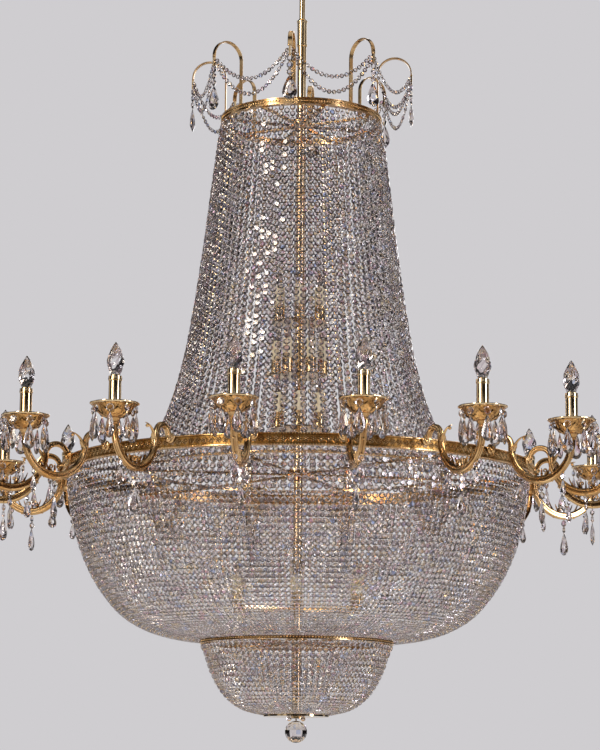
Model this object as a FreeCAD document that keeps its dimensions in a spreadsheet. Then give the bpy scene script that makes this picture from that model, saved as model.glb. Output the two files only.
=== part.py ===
import FreeCAD
import Part

import math
import os

import Sketcher

# A crystal chandelier that hangs from a ceiling plate. The origin is the centre of the plate's
# top face, which lies against the ceiling, and +Z is up. The camera side is -Y.
# Levels whose names end in _level are measured up from the middle of the main ring.

SIZES = (
    ("ring_drop", 1180, "ceiling to the middle of the main ring"),
    ("plate_radius", 65, "ceiling plate"),
    ("plate_thickness", 6, ""),
    ("bolt_circle_radius", 50, "four bolts to the ceiling"),
    ("bolt_hole_radius", 4.5, ""),
    ("bolt_count", 4, ""),
    ("socket_radius", 13, "boss under the plate that takes the rod"),
    ("socket_depth", 22, ""),
    ("fit_gap", 0.05, "radial gap of a bore on its shaft"),
    ("rod_radius", 6.5, "suspension rod"),
    ("canopy_radius", 78, "cover under the ceiling"),
    ("canopy_height", 62, ""),
    ("canopy_wall", 1.5, ""),
    ("canopy_neck_radius", 17, ""),
    ("ceiling_gap", 0.5, "canopy rim to ceiling"),
    ("collar_radius", 13, "collar that holds the canopy up"),
    ("collar_height", 14, ""),
    ("collar_screw_radius", 2.5, ""),
    ("collar_screw_length", 9, ""),
    ("column_radius", 10, "tube down the middle"),
    ("column_top_level", 1012, ""),
    ("column_end_level", -540, ""),
    ("coupler_radius", 12.5, "joins the rod to the column"),
    ("coupler_overlap", 32, "length of each tube inside the coupler"),
    ("hub_radius", 24, "hubs of the three spiders"),
    ("spoke_width", 8, ""),
    ("spoke_height", 5, ""),
    ("top_ring_radius", 183, "outside of the upper ring"),
    ("top_ring_low_level", 794, ""),
    ("top_ring_height", 15, ""),
    ("ring_wall", 4, "thickness of the two ring bands"),
    ("top_ledge_depth", 13, "ledge inside the upper band"),
    ("ledge_thickness", 4, ""),
    ("top_spoke_count", 8, ""),
    ("hook_count", 8, "hooked arms of the crown"),
    ("hook_turn", -6, "first hook, degrees from the front"),
    ("hook_stem_inset", 9, "from the upper ring's outside in to a stem"),
    ("hook_width", 11, "flat strap of a hook"),
    ("hook_thickness", 3.5, ""),
    ("hook_arch_level", 909, "centre of the arch"),
    ("hook_arch", 38, "radius of the arch"),
    ("hook_tip_length", 4, ""),
    ("link_length", 20, "link below a hook's tip"),
    ("link_side", 5, ""),
    ("crown_bead_length", 47, "three beads above the almond drop"),
    ("crown_drop_length", 55, ""),
    ("crown_drop_width", 34, ""),
    ("swag_upper_sag", 56, ""),
    ("swag_lower_sag", 81, ""),
    ("swag_bead", 10, "height of a swag's beads"),
    ("bead_thickness", 5, "thickness of the cut beads"),
    ("cone_strand_count", 90, ""),
    ("cone_neck_spread", 23, "from the upper ring's outside out to points of the cone's outline"),
    ("cone_neck_level", 608, ""),
    ("cone_waist_spread", 61, ""),
    ("cone_waist_level", 322, ""),
    ("cone_flare_draw", 63, "from the base ring in to the cone's flare"),
    ("cone_flare_level", 168, ""),
    ("base_ring_radius", 341, "ring at the foot of the cone"),
    ("base_ring_width", 8, ""),
    ("base_ring_height", 6, ""),
    ("main_ring_radius", 521, "outside of the ornamental ring"),
    ("main_ring_height", 26, ""),
    ("main_ledge_depth", 12, ""),
    ("main_spoke_count", 6, ""),
    ("bowl_strand_count", 108, ""),
    ("bowl_inset", 9, "from the ring's outside in to the bowl's outside"),
    ("bowl_brow_draw", 3, "from the bowl's top in to points of its outline"),
    ("bowl_brow_level", -58, ""),
    ("bowl_shoulder_draw", 22, ""),
    ("bowl_shoulder_level", -151, ""),
    ("bowl_belly_draw", 64, ""),
    ("bowl_belly_level", -250, ""),
    ("bowl_turn_draw", 125, ""),
    ("bowl_turn_level", -324, ""),
    ("bowl_floor_draw", 192, ""),
    ("bowl_floor_level", -361, ""),
    ("junction_radius", 213, "ring between the bowl and the lower bowl"),
    ("junction_width", 8, ""),
    ("junction_top_level", -373, ""),
    ("junction_height", 8, ""),
    ("junction_spoke_count", 6, ""),
    ("lower_strand_count", 54, ""),
    ("lower_shoulder_draw", 18, "from the junction ring in to points of the outline"),
    ("lower_shoulder_level", -429, ""),
    ("lower_belly_draw", 38, ""),
    ("lower_belly_level", -476, ""),
    ("lower_turn_draw", 77, ""),
    ("lower_turn_level", -518, ""),
    ("disc_radius", 72, "disc at the foot of the lower bowl"),
    ("disc_level", -532, "top of the disc"),
    ("disc_thickness", 6, ""),
    ("cap_radius", 9, "cap on the end of the column"),
    ("cap_height", 4, ""),
    ("ball_link_length", 3.6, ""),
    ("ball_link_side", 3, ""),
    ("ball_radius", 24, "faceted ball"),
    ("swing_gap", 0.3, "play at the eye of a hanging piece"),
    ("arm_count", 18, "scroll arms"),
    ("arm_turn", 10, "first arm, degrees from the front"),
    ("arm_centre_level", 8, "level of both arcs' centres"),
    ("arm_arch", 23.5, "radius of the small arc beside the ring"),
    ("arm_scroll", 75, "radius of the large arc"),
    ("arm_foot_length", 8, "root boss between ring and arc"),
    ("arm_foot_side", 17, ""),
    ("arch_depth", 12, "thickness of the small arc in its plane"),
    ("scroll_depth", 16, "thickness of the large arc in its plane"),
    ("arm_width", 13, "thickness of an arm across its plane"),
    ("leaf_width", 8, ""),
    ("leaf_rise", 24, "curled leaf on the scroll's inner leg"),
    ("nut_side", 10, "square nut behind each arm"),
    ("nut_height", 4, ""),
    ("pan_level", 21, "underside of a drip pan"),
    ("pan_rise", 30, ""),
    ("pan_radius", 50, ""),
    ("pan_foot_radius", 14, ""),
    ("pan_belly_radius", 34, ""),
    ("pan_belly_rise", 11, ""),
    ("pan_wall", 2.5, ""),
    ("pan_sides", 8, ""),
    ("tube_radius", 13.5, "candle tube"),
    ("tube_top_level", 105, ""),
    ("lamp_cap_radius", 9, ""),
    ("lamp_cap_height", 3, ""),
    ("bulb_radius", 17.5, "flame bulb"),
    ("bulb_length", 66, ""),
    ("pan_drop_count", 8, "drops on each pan"),
    ("pan_drop_circle", 44, ""),
    ("pan_drop_length", 76, ""),
    ("pan_drop_width", 21, ""),
    ("pendant_spread", 52, "pendants beside the lowest point of an arm"),
    ("pendant_length", 50, ""),
    ("pendant_width", 20, ""),
    ("string_bead_length", 30, "pair of beads at the top of an arm's string"),
    ("string_drop_length", 52, ""),
    ("string_drop_width", 24, ""),
    ("string_bead_width", 14, ""),
    ("tier_top_level", 414, "tops of the inner sleeves on the upper lamp plate"),
    ("tier_pitch", 120, "distance between lamp plates"),
    ("tier_count", 3, ""),
    ("tier_lamps", 6, "lamps on each plate"),
    ("tier_plate_radius", 64, ""),
    ("tier_plate_thickness", 3, ""),
    ("sleeve_circle", 52, "distance of an inner sleeve from the middle"),
    ("sleeve_radius", 11, ""),
    ("tier_sleeve_length", 76, "sleeves on the lamp plates"),
    ("small_bulb_radius", 9, ""),
    ("small_bulb_length", 38, ""),
    ("bowl_lamp_count", 6, "lamps inside the bowl"),
    ("bowl_lamp_level", -300, ""),
    ("bowl_lamp_reach", 150, ""),
    ("bowl_bar", 6, "side of a square bar under a bowl lamp"),
    ("bowl_sleeve_length", 60, ""),
)

doc = FreeCAD.newDocument("chandelier")
sheet = doc.addObject("Spreadsheet::Sheet", "Sizes")
for row, (alias, value, note) in enumerate(SIZES, start=1):
    sheet.set("A%d" % row, note or alias.replace("_", " "))
    sheet.set("B%d" % row, str(value))
    sheet.setAlias("B%d" % row, alias)
doc.recompute()

X_AXIS = FreeCAD.Vector(1, 0, 0)
Z_AXIS = FreeCAD.Vector(0, 0, 1)
ORIGIN = FreeCAD.Vector(0, 0, 0)

parts = []


def size(alias):
    """A driving size read from the sheet."""
    return float(sheet.get(alias))


def count(alias):
    """A driving number of copies read from the sheet."""
    return int(round(size(alias)))


def at_level(level):
    """Height in the part's frame of a level above the main ring."""
    return level - size("ring_drop")


def level_of(alias):
    return at_level(size(alias))


def named(item, label):
    """Gives a sub-part the label that names its file and keeps it for the export."""
    item.Label = label
    parts.append(item)
    return item


def shaped(label, shape):
    """A sub-part whose shape is worked out here from the sheet's sizes."""
    item = doc.addObject("Part::Feature", label)
    item.Shape = shape
    item.Placement = shape.Placement
    return named(item, label)


def origin_plane(body, role):
    return next(f for f in body.Origin.OriginFeatures if f.Role == role)


def turned_body(label, outline, bottom):
    """A body turned about the vertical axis.

    outline holds (radius, height) pairs of sheet formulas, round the section, with the
    heights measured from the formula bottom. A radius or height of 0 lies on an axis.
    """
    body = doc.addObject("PartDesign::Body", label)
    sketch = body.newObject("Sketcher::SketchObject", label + "_section")
    sketch.AttachmentSupport = [(origin_plane(body, "XZ_Plane"), "")]
    sketch.MapMode = "FlatFace"
    corners = []
    for radius, height in outline:
        corners.append(FreeCAD.Vector(formula(radius), formula(height), 0))
    total = len(corners)
    for i in range(total):
        sketch.addGeometry(Part.LineSegment(corners[i], corners[(i + 1) % total]), False)
    for i in range(total):
        sketch.addConstraint(Sketcher.Constraint("Coincident", i, 2, (i + 1) % total, 1))
    for i, (radius, height) in enumerate(outline):
        bind_point(sketch, i, "DistanceX", radius, corners[i].x, "radius_%d" % i, -2)
        bind_point(sketch, i, "DistanceY", height, corners[i].y, "height_%d" % i, -1)
    turn = body.newObject("PartDesign::Revolution", label + "_turned")
    turn.Profile = sketch
    turn.ReferenceAxis = (sketch, ["V_Axis"])
    turn.Angle = 360
    body.setExpression("Placement.Base.z", bottom)
    return named(body, label)


def bind_point(sketch, line, kind, text, value, name, axis):
    """Ties the start of a line to a sheet formula, or puts it on an axis."""
    if text == "0":
        sketch.addConstraint(Sketcher.Constraint("PointOnObject", line, 1, axis))
        return
    place = sketch.addConstraint(Sketcher.Constraint(kind, -1, 1, line, 1, value))
    sketch.renameConstraint(place, name)
    sketch.setExpression("Constraints." + name, text)


def formula(text):
    """The present value of a sheet formula."""
    probe = doc.getObject("Probe") or doc.addObject("App::FeaturePython", "Probe")
    if not hasattr(probe, "Value"):
        probe.addProperty("App::PropertyFloat", "Value")
    probe.setExpression("Value", text)
    probe.recompute()
    return probe.Value


def spider(label, bottom, height, reach, spokes, turn):
    """A hub on the column with flat spokes out to a ring. All arguments are sheet formulas."""
    body = doc.addObject("PartDesign::Body", label)
    hub = body.newObject("Sketcher::SketchObject", label + "_hub_section")
    hub.AttachmentSupport = [(origin_plane(body, "XY_Plane"), "")]
    hub.MapMode = "FlatFace"
    for name, text in (("hub", "Sizes.hub_radius"),
                       ("bore", "Sizes.column_radius + Sizes.fit_gap")):
        circle = hub.addGeometry(Part.Circle(ORIGIN, Z_AXIS, formula(text)), False)
        hub.addConstraint(Sketcher.Constraint("Coincident", circle, 3, -1, 1))
        place = hub.addConstraint(Sketcher.Constraint("Radius", circle, formula(text)))
        hub.renameConstraint(place, name)
        hub.setExpression("Constraints." + name, text)
    pad = body.newObject("PartDesign::Pad", label + "_hub")
    pad.Profile = hub
    pad.setExpression("Length", height)
    bar = body.newObject("Sketcher::SketchObject", label + "_spoke_section")
    bar.AttachmentSupport = [(origin_plane(body, "XY_Plane"), "")]
    bar.MapMode = "FlatFace"
    inner = formula("Sizes.hub_radius - Sizes.spoke_width / 2")
    outer = formula(reach)
    half = formula("Sizes.spoke_width / 2")
    corners = ((inner, -half), (outer, -half), (outer, half), (inner, half))
    points = [FreeCAD.Vector(along, across, 0) for along, across in corners]
    for i in range(4):
        bar.addGeometry(Part.LineSegment(points[i], points[(i + 1) % 4]), False)
    for i in range(4):
        bar.addConstraint(Sketcher.Constraint("Coincident", i, 2, (i + 1) % 4, 1))
    for flat in (0, 2):
        bar.addConstraint(Sketcher.Constraint("Horizontal", flat))
    bar.addConstraint(Sketcher.Constraint("Vertical", 3))
    bar.addConstraint(Sketcher.Constraint("Symmetric", 1, 1, 1, 2, -1))
    bind_point(bar, 0, "DistanceX", "Sizes.hub_radius - Sizes.spoke_width / 2", inner, "start", -2)
    bind_point(bar, 1, "DistanceX", reach, outer, "reach", -2)
    place = bar.addConstraint(Sketcher.Constraint("DistanceY", 1, 1, 1, 2, 2 * half))
    bar.renameConstraint(place, "width")
    bar.setExpression("Constraints.width", "Sizes.spoke_width")
    spoke = body.newObject("PartDesign::Pad", label + "_spoke")
    spoke.Profile = bar
    spoke.setExpression("Length", "Sizes.spoke_height")
    doc.recompute()
    around = body.newObject("PartDesign::PolarPattern", label + "_spokes")
    around.Originals = [spoke]
    around.Axis = (hub, ["N_Axis"])
    around.Angle = 360
    around.setExpression("Occurrences", spokes)
    body.Tip = around
    body.setExpression("Placement.Base.z", bottom)
    body.setExpression("Placement.Rotation.Angle", turn)
    return named(body, label)


def facing(degrees):
    """Turn about Z that brings the +X direction to an angle from the front, right positive."""
    return degrees - 90


def around(shape, copies, first=0.0):
    """Copies of a shape made on +X, spaced evenly about Z from an angle off the front."""
    turned = []
    for i in range(copies):
        copy = shape.copy()
        copy.rotate(ORIGIN, Z_AXIS, facing(first + 360.0 * i / copies))
        turned.append(copy)
    return turned


def group(shapes):
    return Part.makeCompound(shapes)


STRAND_SHARE = 0.8


def flat_faced(faces):
    """A closed solid from lists of corner points, one list for each flat face."""
    shell = Part.makeShell([Part.Face(Part.makePolygon(list(f) + [f[0]])) for f in faces])
    solid = Part.makeSolid(shell)
    if solid.Volume < 0:
        solid.reverse()
    return solid


def cut_bead(top, length, width, thickness, belly=0.5):
    """A cut crystal with a point at each end, its widest place a share belly of the way down."""
    peak = top
    foot = top - FreeCAD.Vector(0, 0, length)
    middle = top - FreeCAD.Vector(0, 0, length * belly)
    across = FreeCAD.Vector(0, width / 2, 0)
    through = FreeCAD.Vector(thickness / 2, 0, 0)
    girdle = (middle + across, middle + through, middle - across, middle - through)
    faces = []
    for i in range(4):
        beside = girdle[(i + 1) % 4]
        faces.append((peak, girdle[i], beside))
        faces.append((foot, beside, girdle[i]))
    return flat_faced(faces)


def flame(foot, radius, length):
    """A flame bulb with six sides, widest a third of the way up."""
    rings = ((0.55, 0.0), (1.0, 0.36), (0.5, 0.75))
    loops = []
    for share, rise in rings:
        loop = []
        for i in range(6):
            turn = math.radians(60 * i)
            side = FreeCAD.Vector(math.cos(turn), math.sin(turn), 0) * (radius * share)
            loop.append(foot + side + FreeCAD.Vector(0, 0, length * rise))
        loops.append(loop)
    tip = foot + FreeCAD.Vector(0, 0, length)
    faces = [loops[0][::-1]]
    for low, high in zip(loops, loops[1:]):
        for i in range(6):
            j = (i + 1) % 6
            faces.append((low[i], low[j], high[j], high[i]))
    for i in range(6):
        faces.append((loops[-1][i], loops[-1][(i + 1) % 6], tip))
    return flat_faced(faces)


def prism(foot, radius, height, sides):
    """An upright prism with regular sides."""
    loop = []
    for i in range(sides):
        turn = 2 * math.pi * (i + 0.5) / sides
        loop.append(foot + FreeCAD.Vector(math.cos(turn), math.sin(turn), 0) * radius)
    face = Part.Face(Part.makePolygon(loop + [loop[0]]))
    return face.extrude(FreeCAD.Vector(0, 0, height))


def strand(outline, copies, foot_out):
    """One string of a crystal net, running down its outline in the plane y = 0.

    outline holds (radius, height) of the ridge, which stands out from the flat back: level at
    the top, along foot_out at the foot and square to the string between them. The width at
    each point is a share of the room that the strings have there.
    """
    ridges = [FreeCAD.Vector(radius, 0, height) for radius, height in outline]
    outs = [FreeCAD.Vector(1, 0, 0)]
    for above, below in zip(ridges, ridges[2:]):
        fall = below - above
        outs.append(FreeCAD.Vector(-fall.z, 0, fall.x).normalize())
    outs.append(foot_out)
    sections = []
    for ridge, out in zip(ridges, outs):
        half = STRAND_SHARE * math.pi * ridge.x / copies
        back = ridge - out * size("bead_thickness")
        sections.append((back - FreeCAD.Vector(0, half, 0), back + FreeCAD.Vector(0, half, 0), ridge))
    left, right, ridge = 0, 1, 2
    top = sections[0]
    foot = sections[-1]
    faces = [(top[left], top[ridge], top[right]), foot]
    for upper, lower in zip(sections, sections[1:]):
        faces.append((upper[left], upper[right], lower[right], lower[left]))
        faces.append((upper[left], lower[left], lower[ridge]))
        faces.append((upper[left], lower[ridge], upper[ridge]))
        faces.append((upper[ridge], lower[ridge], lower[right]))
        faces.append((upper[ridge], lower[right], upper[right]))
    return flat_faced(faces)


# ---- what hangs it from the ceiling ----

ceiling_plate = turned_body(
    "ceiling_plate",
    (("0", "0"),
     ("Sizes.socket_radius", "0"),
     ("Sizes.socket_radius", "Sizes.socket_depth"),
     ("Sizes.plate_radius", "Sizes.socket_depth"),
     ("Sizes.plate_radius", "Sizes.socket_depth + Sizes.plate_thickness"),
     ("0", "Sizes.socket_depth + Sizes.plate_thickness")),
    "-Sizes.socket_depth - Sizes.plate_thickness")
socket = ceiling_plate.newObject("Sketcher::SketchObject", "socket_section")
socket.AttachmentSupport = [(origin_plane(ceiling_plate, "XY_Plane"), "")]
socket.MapMode = "FlatFace"
bore = socket.addGeometry(Part.Circle(ORIGIN, Z_AXIS, size("rod_radius")), False)
socket.addConstraint(Sketcher.Constraint("Coincident", bore, 3, -1, 1))
bore_size = socket.addConstraint(Sketcher.Constraint("Radius", bore, size("rod_radius")))
socket.renameConstraint(bore_size, "bore")
socket.setExpression("Constraints.bore", "Sizes.rod_radius + Sizes.fit_gap")
socket_bore = ceiling_plate.newObject("PartDesign::Pocket", "socket_bore")
socket_bore.Profile = socket
socket_bore.Reversed = True
socket_bore.setExpression("Length", "Sizes.socket_depth")
bolt = ceiling_plate.newObject("Sketcher::SketchObject", "bolt_section")
bolt.AttachmentSupport = [(origin_plane(ceiling_plate, "XY_Plane"), "")]
bolt.MapMode = "FlatFace"
bolt_place = FreeCAD.Vector(size("bolt_circle_radius"), 0, 0)
bolt.addGeometry(Part.Circle(bolt_place, Z_AXIS, size("bolt_hole_radius")), False)
bolt.addConstraint(Sketcher.Constraint("PointOnObject", 0, 3, -1))
bolt.addConstraint(Sketcher.Constraint("DistanceX", -1, 1, 0, 3, bolt_place.x))
bolt.renameConstraint(1, "circle")
bolt.setExpression("Constraints.circle", "Sizes.bolt_circle_radius")
bolt.addConstraint(Sketcher.Constraint("Radius", 0, size("bolt_hole_radius")))
bolt.renameConstraint(2, "hole")
bolt.setExpression("Constraints.hole", "Sizes.bolt_hole_radius")
bolt_hole = ceiling_plate.newObject("PartDesign::Pocket", "bolt_hole")
bolt_hole.Profile = bolt
bolt_hole.Reversed = True
bolt_hole.setExpression("Length", "Sizes.socket_depth + 2 * Sizes.plate_thickness")
doc.recompute()
bolt_holes = ceiling_plate.newObject("PartDesign::PolarPattern", "bolt_holes")
bolt_holes.Originals = [bolt_hole]
bolt_holes.Axis = (bolt, ["N_Axis"])
bolt_holes.Angle = 360
bolt_holes.setExpression("Occurrences", "Sizes.bolt_count")
ceiling_plate.Tip = bolt_holes

rod = doc.addObject("Part::Cylinder", "suspension_rod")
rod.setExpression("Radius", "Sizes.rod_radius")
rod.setExpression("Height", "Sizes.ring_drop - Sizes.plate_thickness - Sizes.column_top_level")
rod.setExpression("Placement.Base.z", "Sizes.column_top_level - Sizes.ring_drop")
named(rod, "suspension_rod")

CANOPY_FOOT = "-Sizes.ceiling_gap - Sizes.canopy_height"
canopy = turned_body(
    "canopy",
    (("Sizes.rod_radius + Sizes.swing_gap", "0"),
     ("Sizes.canopy_neck_radius", "0"),
     ("Sizes.canopy_neck_radius + Sizes.canopy_wall * 3", "Sizes.canopy_height * 0.3"),
     ("Sizes.canopy_radius * 0.72", "Sizes.canopy_height * 0.55"),
     ("Sizes.canopy_radius", "Sizes.canopy_height * 0.86"),
     ("Sizes.canopy_radius", "Sizes.canopy_height"),
     ("Sizes.canopy_radius - Sizes.canopy_wall", "Sizes.canopy_height"),
     ("Sizes.canopy_radius - Sizes.canopy_wall", "Sizes.canopy_height * 0.88"),
     ("Sizes.canopy_radius * 0.72 - Sizes.canopy_wall", "Sizes.canopy_height * 0.55 + Sizes.canopy_wall"),
     ("Sizes.canopy_neck_radius + Sizes.canopy_wall * 2", "Sizes.canopy_height * 0.3 + Sizes.canopy_wall"),
     ("Sizes.canopy_neck_radius - Sizes.canopy_wall", "Sizes.canopy_wall * 2"),
     ("Sizes.rod_radius + Sizes.swing_gap", "Sizes.canopy_wall * 2")),
    CANOPY_FOOT)

collar = turned_body(
    "canopy_collar",
    (("Sizes.rod_radius + Sizes.fit_gap", "0"),
     ("Sizes.collar_radius * 0.8", "0"),
     ("Sizes.collar_radius", "Sizes.collar_height * 0.3"),
     ("Sizes.collar_radius", "Sizes.collar_height"),
     ("Sizes.rod_radius + Sizes.fit_gap", "Sizes.collar_height")),
    CANOPY_FOOT + " - Sizes.collar_height")

collar_middle = -size("ceiling_gap") - size("canopy_height") - size("collar_height") * 0.6
screw = Part.makeCylinder(size("collar_screw_radius"), size("collar_screw_length"),
                          FreeCAD.Vector(size("collar_radius"), 0, collar_middle), X_AXIS)
shaped("collar_screw", screw)

# ---- the column and the three spiders that carry the rings ----

COLUMN_TOP = "Sizes.column_top_level - Sizes.ring_drop"
column = doc.addObject("Part::Cylinder", "column_tube")
column.setExpression("Radius", "Sizes.column_radius")
column.setExpression("Height", "Sizes.column_top_level - Sizes.column_end_level")
column.setExpression("Placement.Base.z", "Sizes.column_end_level - Sizes.ring_drop")
named(column, "column_tube")

coupler = turned_body(
    "rod_coupler",
    (("Sizes.column_radius + Sizes.fit_gap", "0"),
     ("Sizes.column_radius + Sizes.canopy_wall", "0"),
     ("Sizes.coupler_radius", "Sizes.coupler_overlap * 0.5"),
     ("Sizes.coupler_radius", "Sizes.coupler_overlap * 1.2"),
     ("Sizes.rod_radius + Sizes.canopy_wall", "Sizes.coupler_overlap * 2"),
     ("Sizes.rod_radius + Sizes.fit_gap", "Sizes.coupler_overlap * 2"),
     ("Sizes.rod_radius + Sizes.fit_gap", "Sizes.coupler_overlap"),
     ("Sizes.column_radius + Sizes.fit_gap", "Sizes.coupler_overlap")),
    COLUMN_TOP + " - Sizes.coupler_overlap")

TOP_SPOKES = "Sizes.top_ring_low_level - Sizes.spoke_height - Sizes.ring_drop"
spider("upper_spider", TOP_SPOKES, "Sizes.spoke_height * 3",
       "Sizes.top_ring_radius - Sizes.ring_wall - Sizes.spoke_height", "Sizes.top_spoke_count",
       "Sizes.hook_turn + 180 / Sizes.hook_count")
MAIN_LEDGE_TOP = "Sizes.ledge_thickness - Sizes.main_ring_height / 2 - Sizes.ring_drop"
spider("main_spider", MAIN_LEDGE_TOP, "Sizes.spoke_height * 3",
       "Sizes.main_ring_radius - Sizes.ring_wall - Sizes.swing_gap", "Sizes.main_spoke_count",
       "180 / Sizes.arm_count")
spider("junction_spider", "Sizes.junction_top_level - Sizes.junction_height - Sizes.ring_drop",
       "Sizes.spoke_height * 3", "Sizes.junction_radius - Sizes.junction_width",
       "Sizes.junction_spoke_count", "0")


def band(label, radius, wall, bottom, height, depth, thickness):
    """A ring band with a ledge round the inside of its foot."""
    inner = radius + " - " + wall
    return turned_body(
        label,
        ((inner + " - " + depth, "0"),
         (radius, "0"),
         (radius, height),
         (inner, height),
         (inner, thickness),
         (inner + " - " + depth, thickness)),
        bottom)


def hoop(label, radius, width, bottom, height):
    """A plain ring of rectangular bar."""
    inner = radius + " - " + width
    return turned_body(label, ((inner, "0"), (radius, "0"), (radius, height), (inner, height)), bottom)


band("top_ring", "Sizes.top_ring_radius", "Sizes.ring_wall",
     "Sizes.top_ring_low_level - Sizes.ring_drop", "Sizes.top_ring_height",
     "Sizes.top_ledge_depth", "Sizes.ledge_thickness")
band("main_ring", "Sizes.main_ring_radius", "Sizes.ring_wall",
     "-Sizes.main_ring_height / 2 - Sizes.ring_drop", "Sizes.main_ring_height",
     "Sizes.main_ledge_depth", "Sizes.ledge_thickness")
BASE_RING_FOOT = MAIN_LEDGE_TOP + " + Sizes.spoke_height"
hoop("cone_base_ring", "Sizes.base_ring_radius + Sizes.base_ring_width / 2", "Sizes.base_ring_width",
     BASE_RING_FOOT, "Sizes.base_ring_height")
hoop("junction_ring", "Sizes.junction_radius", "Sizes.junction_width",
     "Sizes.junction_top_level - Sizes.junction_height - Sizes.ring_drop", "Sizes.junction_height")
hoop("bottom_disc", "Sizes.disc_radius",
     "(Sizes.disc_radius - Sizes.column_radius - Sizes.fit_gap)",
     "Sizes.disc_level - Sizes.disc_thickness - Sizes.ring_drop", "Sizes.disc_thickness")


def tube_on_axis(radius, top, foot):
    return Part.makeCylinder(radius, top - foot, FreeCAD.Vector(0, 0, foot))


cap_top = level_of("disc_level") - size("disc_thickness")
cap = tube_on_axis(size("cap_radius") + size("column_radius"), cap_top, cap_top - size("cap_height"))
stub = tube_on_axis(size("column_radius") + size("fit_gap"), cap_top, level_of("column_end_level"))
shaped("finial_cap", cap.cut(stub))


# ---- the crown of hooked arms and swags ----

def point(along, height):
    """A point of the plane y = 0."""
    return FreeCAD.Vector(along, 0, height)


def arc(start, middle, end):
    return Part.Arc(start, middle, end).toShape()


def line(start, end):
    return Part.LineSegment(start, end).toShape()


def plate(edges, width):
    """A flat outline of the plane y = 0 given a thickness, half to each side."""
    face = Part.Face(Part.Wire(edges))
    face.translate(FreeCAD.Vector(0, -width / 2, 0))
    return face.extrude(FreeCAD.Vector(0, width, 0))


half_bar = size("hook_thickness") / 2
stem = size("top_ring_radius") - size("hook_stem_inset")
arch_level = level_of("hook_arch_level")
tip = stem + 2 * size("hook_arch")
tip_foot = arch_level - size("hook_tip_length")
arch_top = arch_level + size("hook_arch")
ledge_top = level_of("top_ring_low_level") + size("ledge_thickness")
outside = (point(stem - half_bar, arch_level), point(tip + half_bar, arch_level))
inside = (point(tip - half_bar, arch_level), point(stem + half_bar, arch_level))
hook = plate((
    line(point(stem - half_bar, ledge_top), outside[0]),
    arc(outside[0], point(stem + size("hook_arch"), arch_top + half_bar), outside[1]),
    line(outside[1], point(tip + half_bar, tip_foot)),
    line(point(tip + half_bar, tip_foot), point(tip - half_bar, tip_foot)),
    line(point(tip - half_bar, tip_foot), inside[0]),
    arc(inside[0], point(stem + size("hook_arch"), arch_top - half_bar), inside[1]),
    line(inside[1], point(stem + half_bar, ledge_top)),
    line(point(stem + half_bar, ledge_top), point(stem - half_bar, ledge_top)),
), size("hook_width"))
hooks = count("hook_count")
shaped("crown_hooks", group(around(hook, hooks, size("hook_turn"))))

side = size("link_side")
link_foot = tip_foot - size("link_length")
link = Part.makeBox(side, side, size("link_length"), FreeCAD.Vector(tip - side / 2, -side / 2, link_foot))
shaped("crown_links", group(around(link, hooks, size("hook_turn"))))

crown_drop_top = FreeCAD.Vector(tip, 0, link_foot - size("swing_gap"))
crown_bead = size("crown_bead_length") / 3
beads = []
for i in range(3):
    bead_top = crown_drop_top - FreeCAD.Vector(0, 0, crown_bead * i)
    beads.append(cut_bead(bead_top, crown_bead, size("string_bead_width"), size("bead_thickness")))
almond_top = crown_drop_top - FreeCAD.Vector(0, 0, size("crown_bead_length"))
beads.append(cut_bead(almond_top, size("crown_drop_length"), size("crown_drop_width"),
                      2 * size("bead_thickness"), 0.6))
for i, drop in enumerate(around(group(beads), hooks, size("hook_turn")), start=1):
    shaped("crown_drop_%d" % i, drop)

half_pitch = math.pi / hooks
chord_place = tip * math.cos(half_pitch)
clear_of_link = side / 2 * (math.cos(half_pitch) + math.sin(half_pitch)) + size("fit_gap")
chord_half = tip * math.sin(half_pitch) - clear_of_link
SWAG_RUNS = 4


def swag(end_level, sag):
    """A hanging chain of beads between two links, as a strip that follows its curve."""
    upper = []
    lower = []
    for i in range(SWAG_RUNS + 1):
        share = 2.0 * i / SWAG_RUNS - 1
        middle = end_level - sag * (1 - share * share)
        across = share * chord_half
        upper.append(FreeCAD.Vector(chord_place, across, middle + size("swag_bead") / 2))
        lower.append(FreeCAD.Vector(chord_place, across, middle - size("swag_bead") / 2))
    loop = upper + lower[::-1]
    face = Part.Face(Part.makePolygon(loop + [loop[0]]))
    face.translate(FreeCAD.Vector(-size("bead_thickness") / 2, 0, 0))
    return face.extrude(FreeCAD.Vector(size("bead_thickness"), 0, 0))


between = size("hook_turn") + math.degrees(half_pitch)
upper_end = tip_foot - size("swag_bead") / 2
lower_end = upper_end - size("swag_bead")
swags = [swag(upper_end, size("swag_upper_sag")), swag(lower_end, size("swag_lower_sag"))]
shaped("crown_swags", group(around(group(swags), hooks, between)))

# ---- the crystal net: cone, bowl and lower bowl ----

edge = size("fit_gap") * 10
base_ring_top = formula(BASE_RING_FOOT) + size("base_ring_height")
ridge_on_base = size("base_ring_radius") + size("bead_thickness") / 2
cone = strand((
    (size("top_ring_radius") - edge, level_of("top_ring_low_level")),
    (size("top_ring_radius") + size("cone_neck_spread"), level_of("cone_neck_level")),
    (size("top_ring_radius") + size("cone_waist_spread"), level_of("cone_waist_level")),
    (size("base_ring_radius") - size("cone_flare_draw"), level_of("cone_flare_level")),
    (ridge_on_base, base_ring_top),
), count("cone_strand_count"), X_AXIS)
shaped("cone_strands", group(around(cone, count("cone_strand_count"))))

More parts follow.
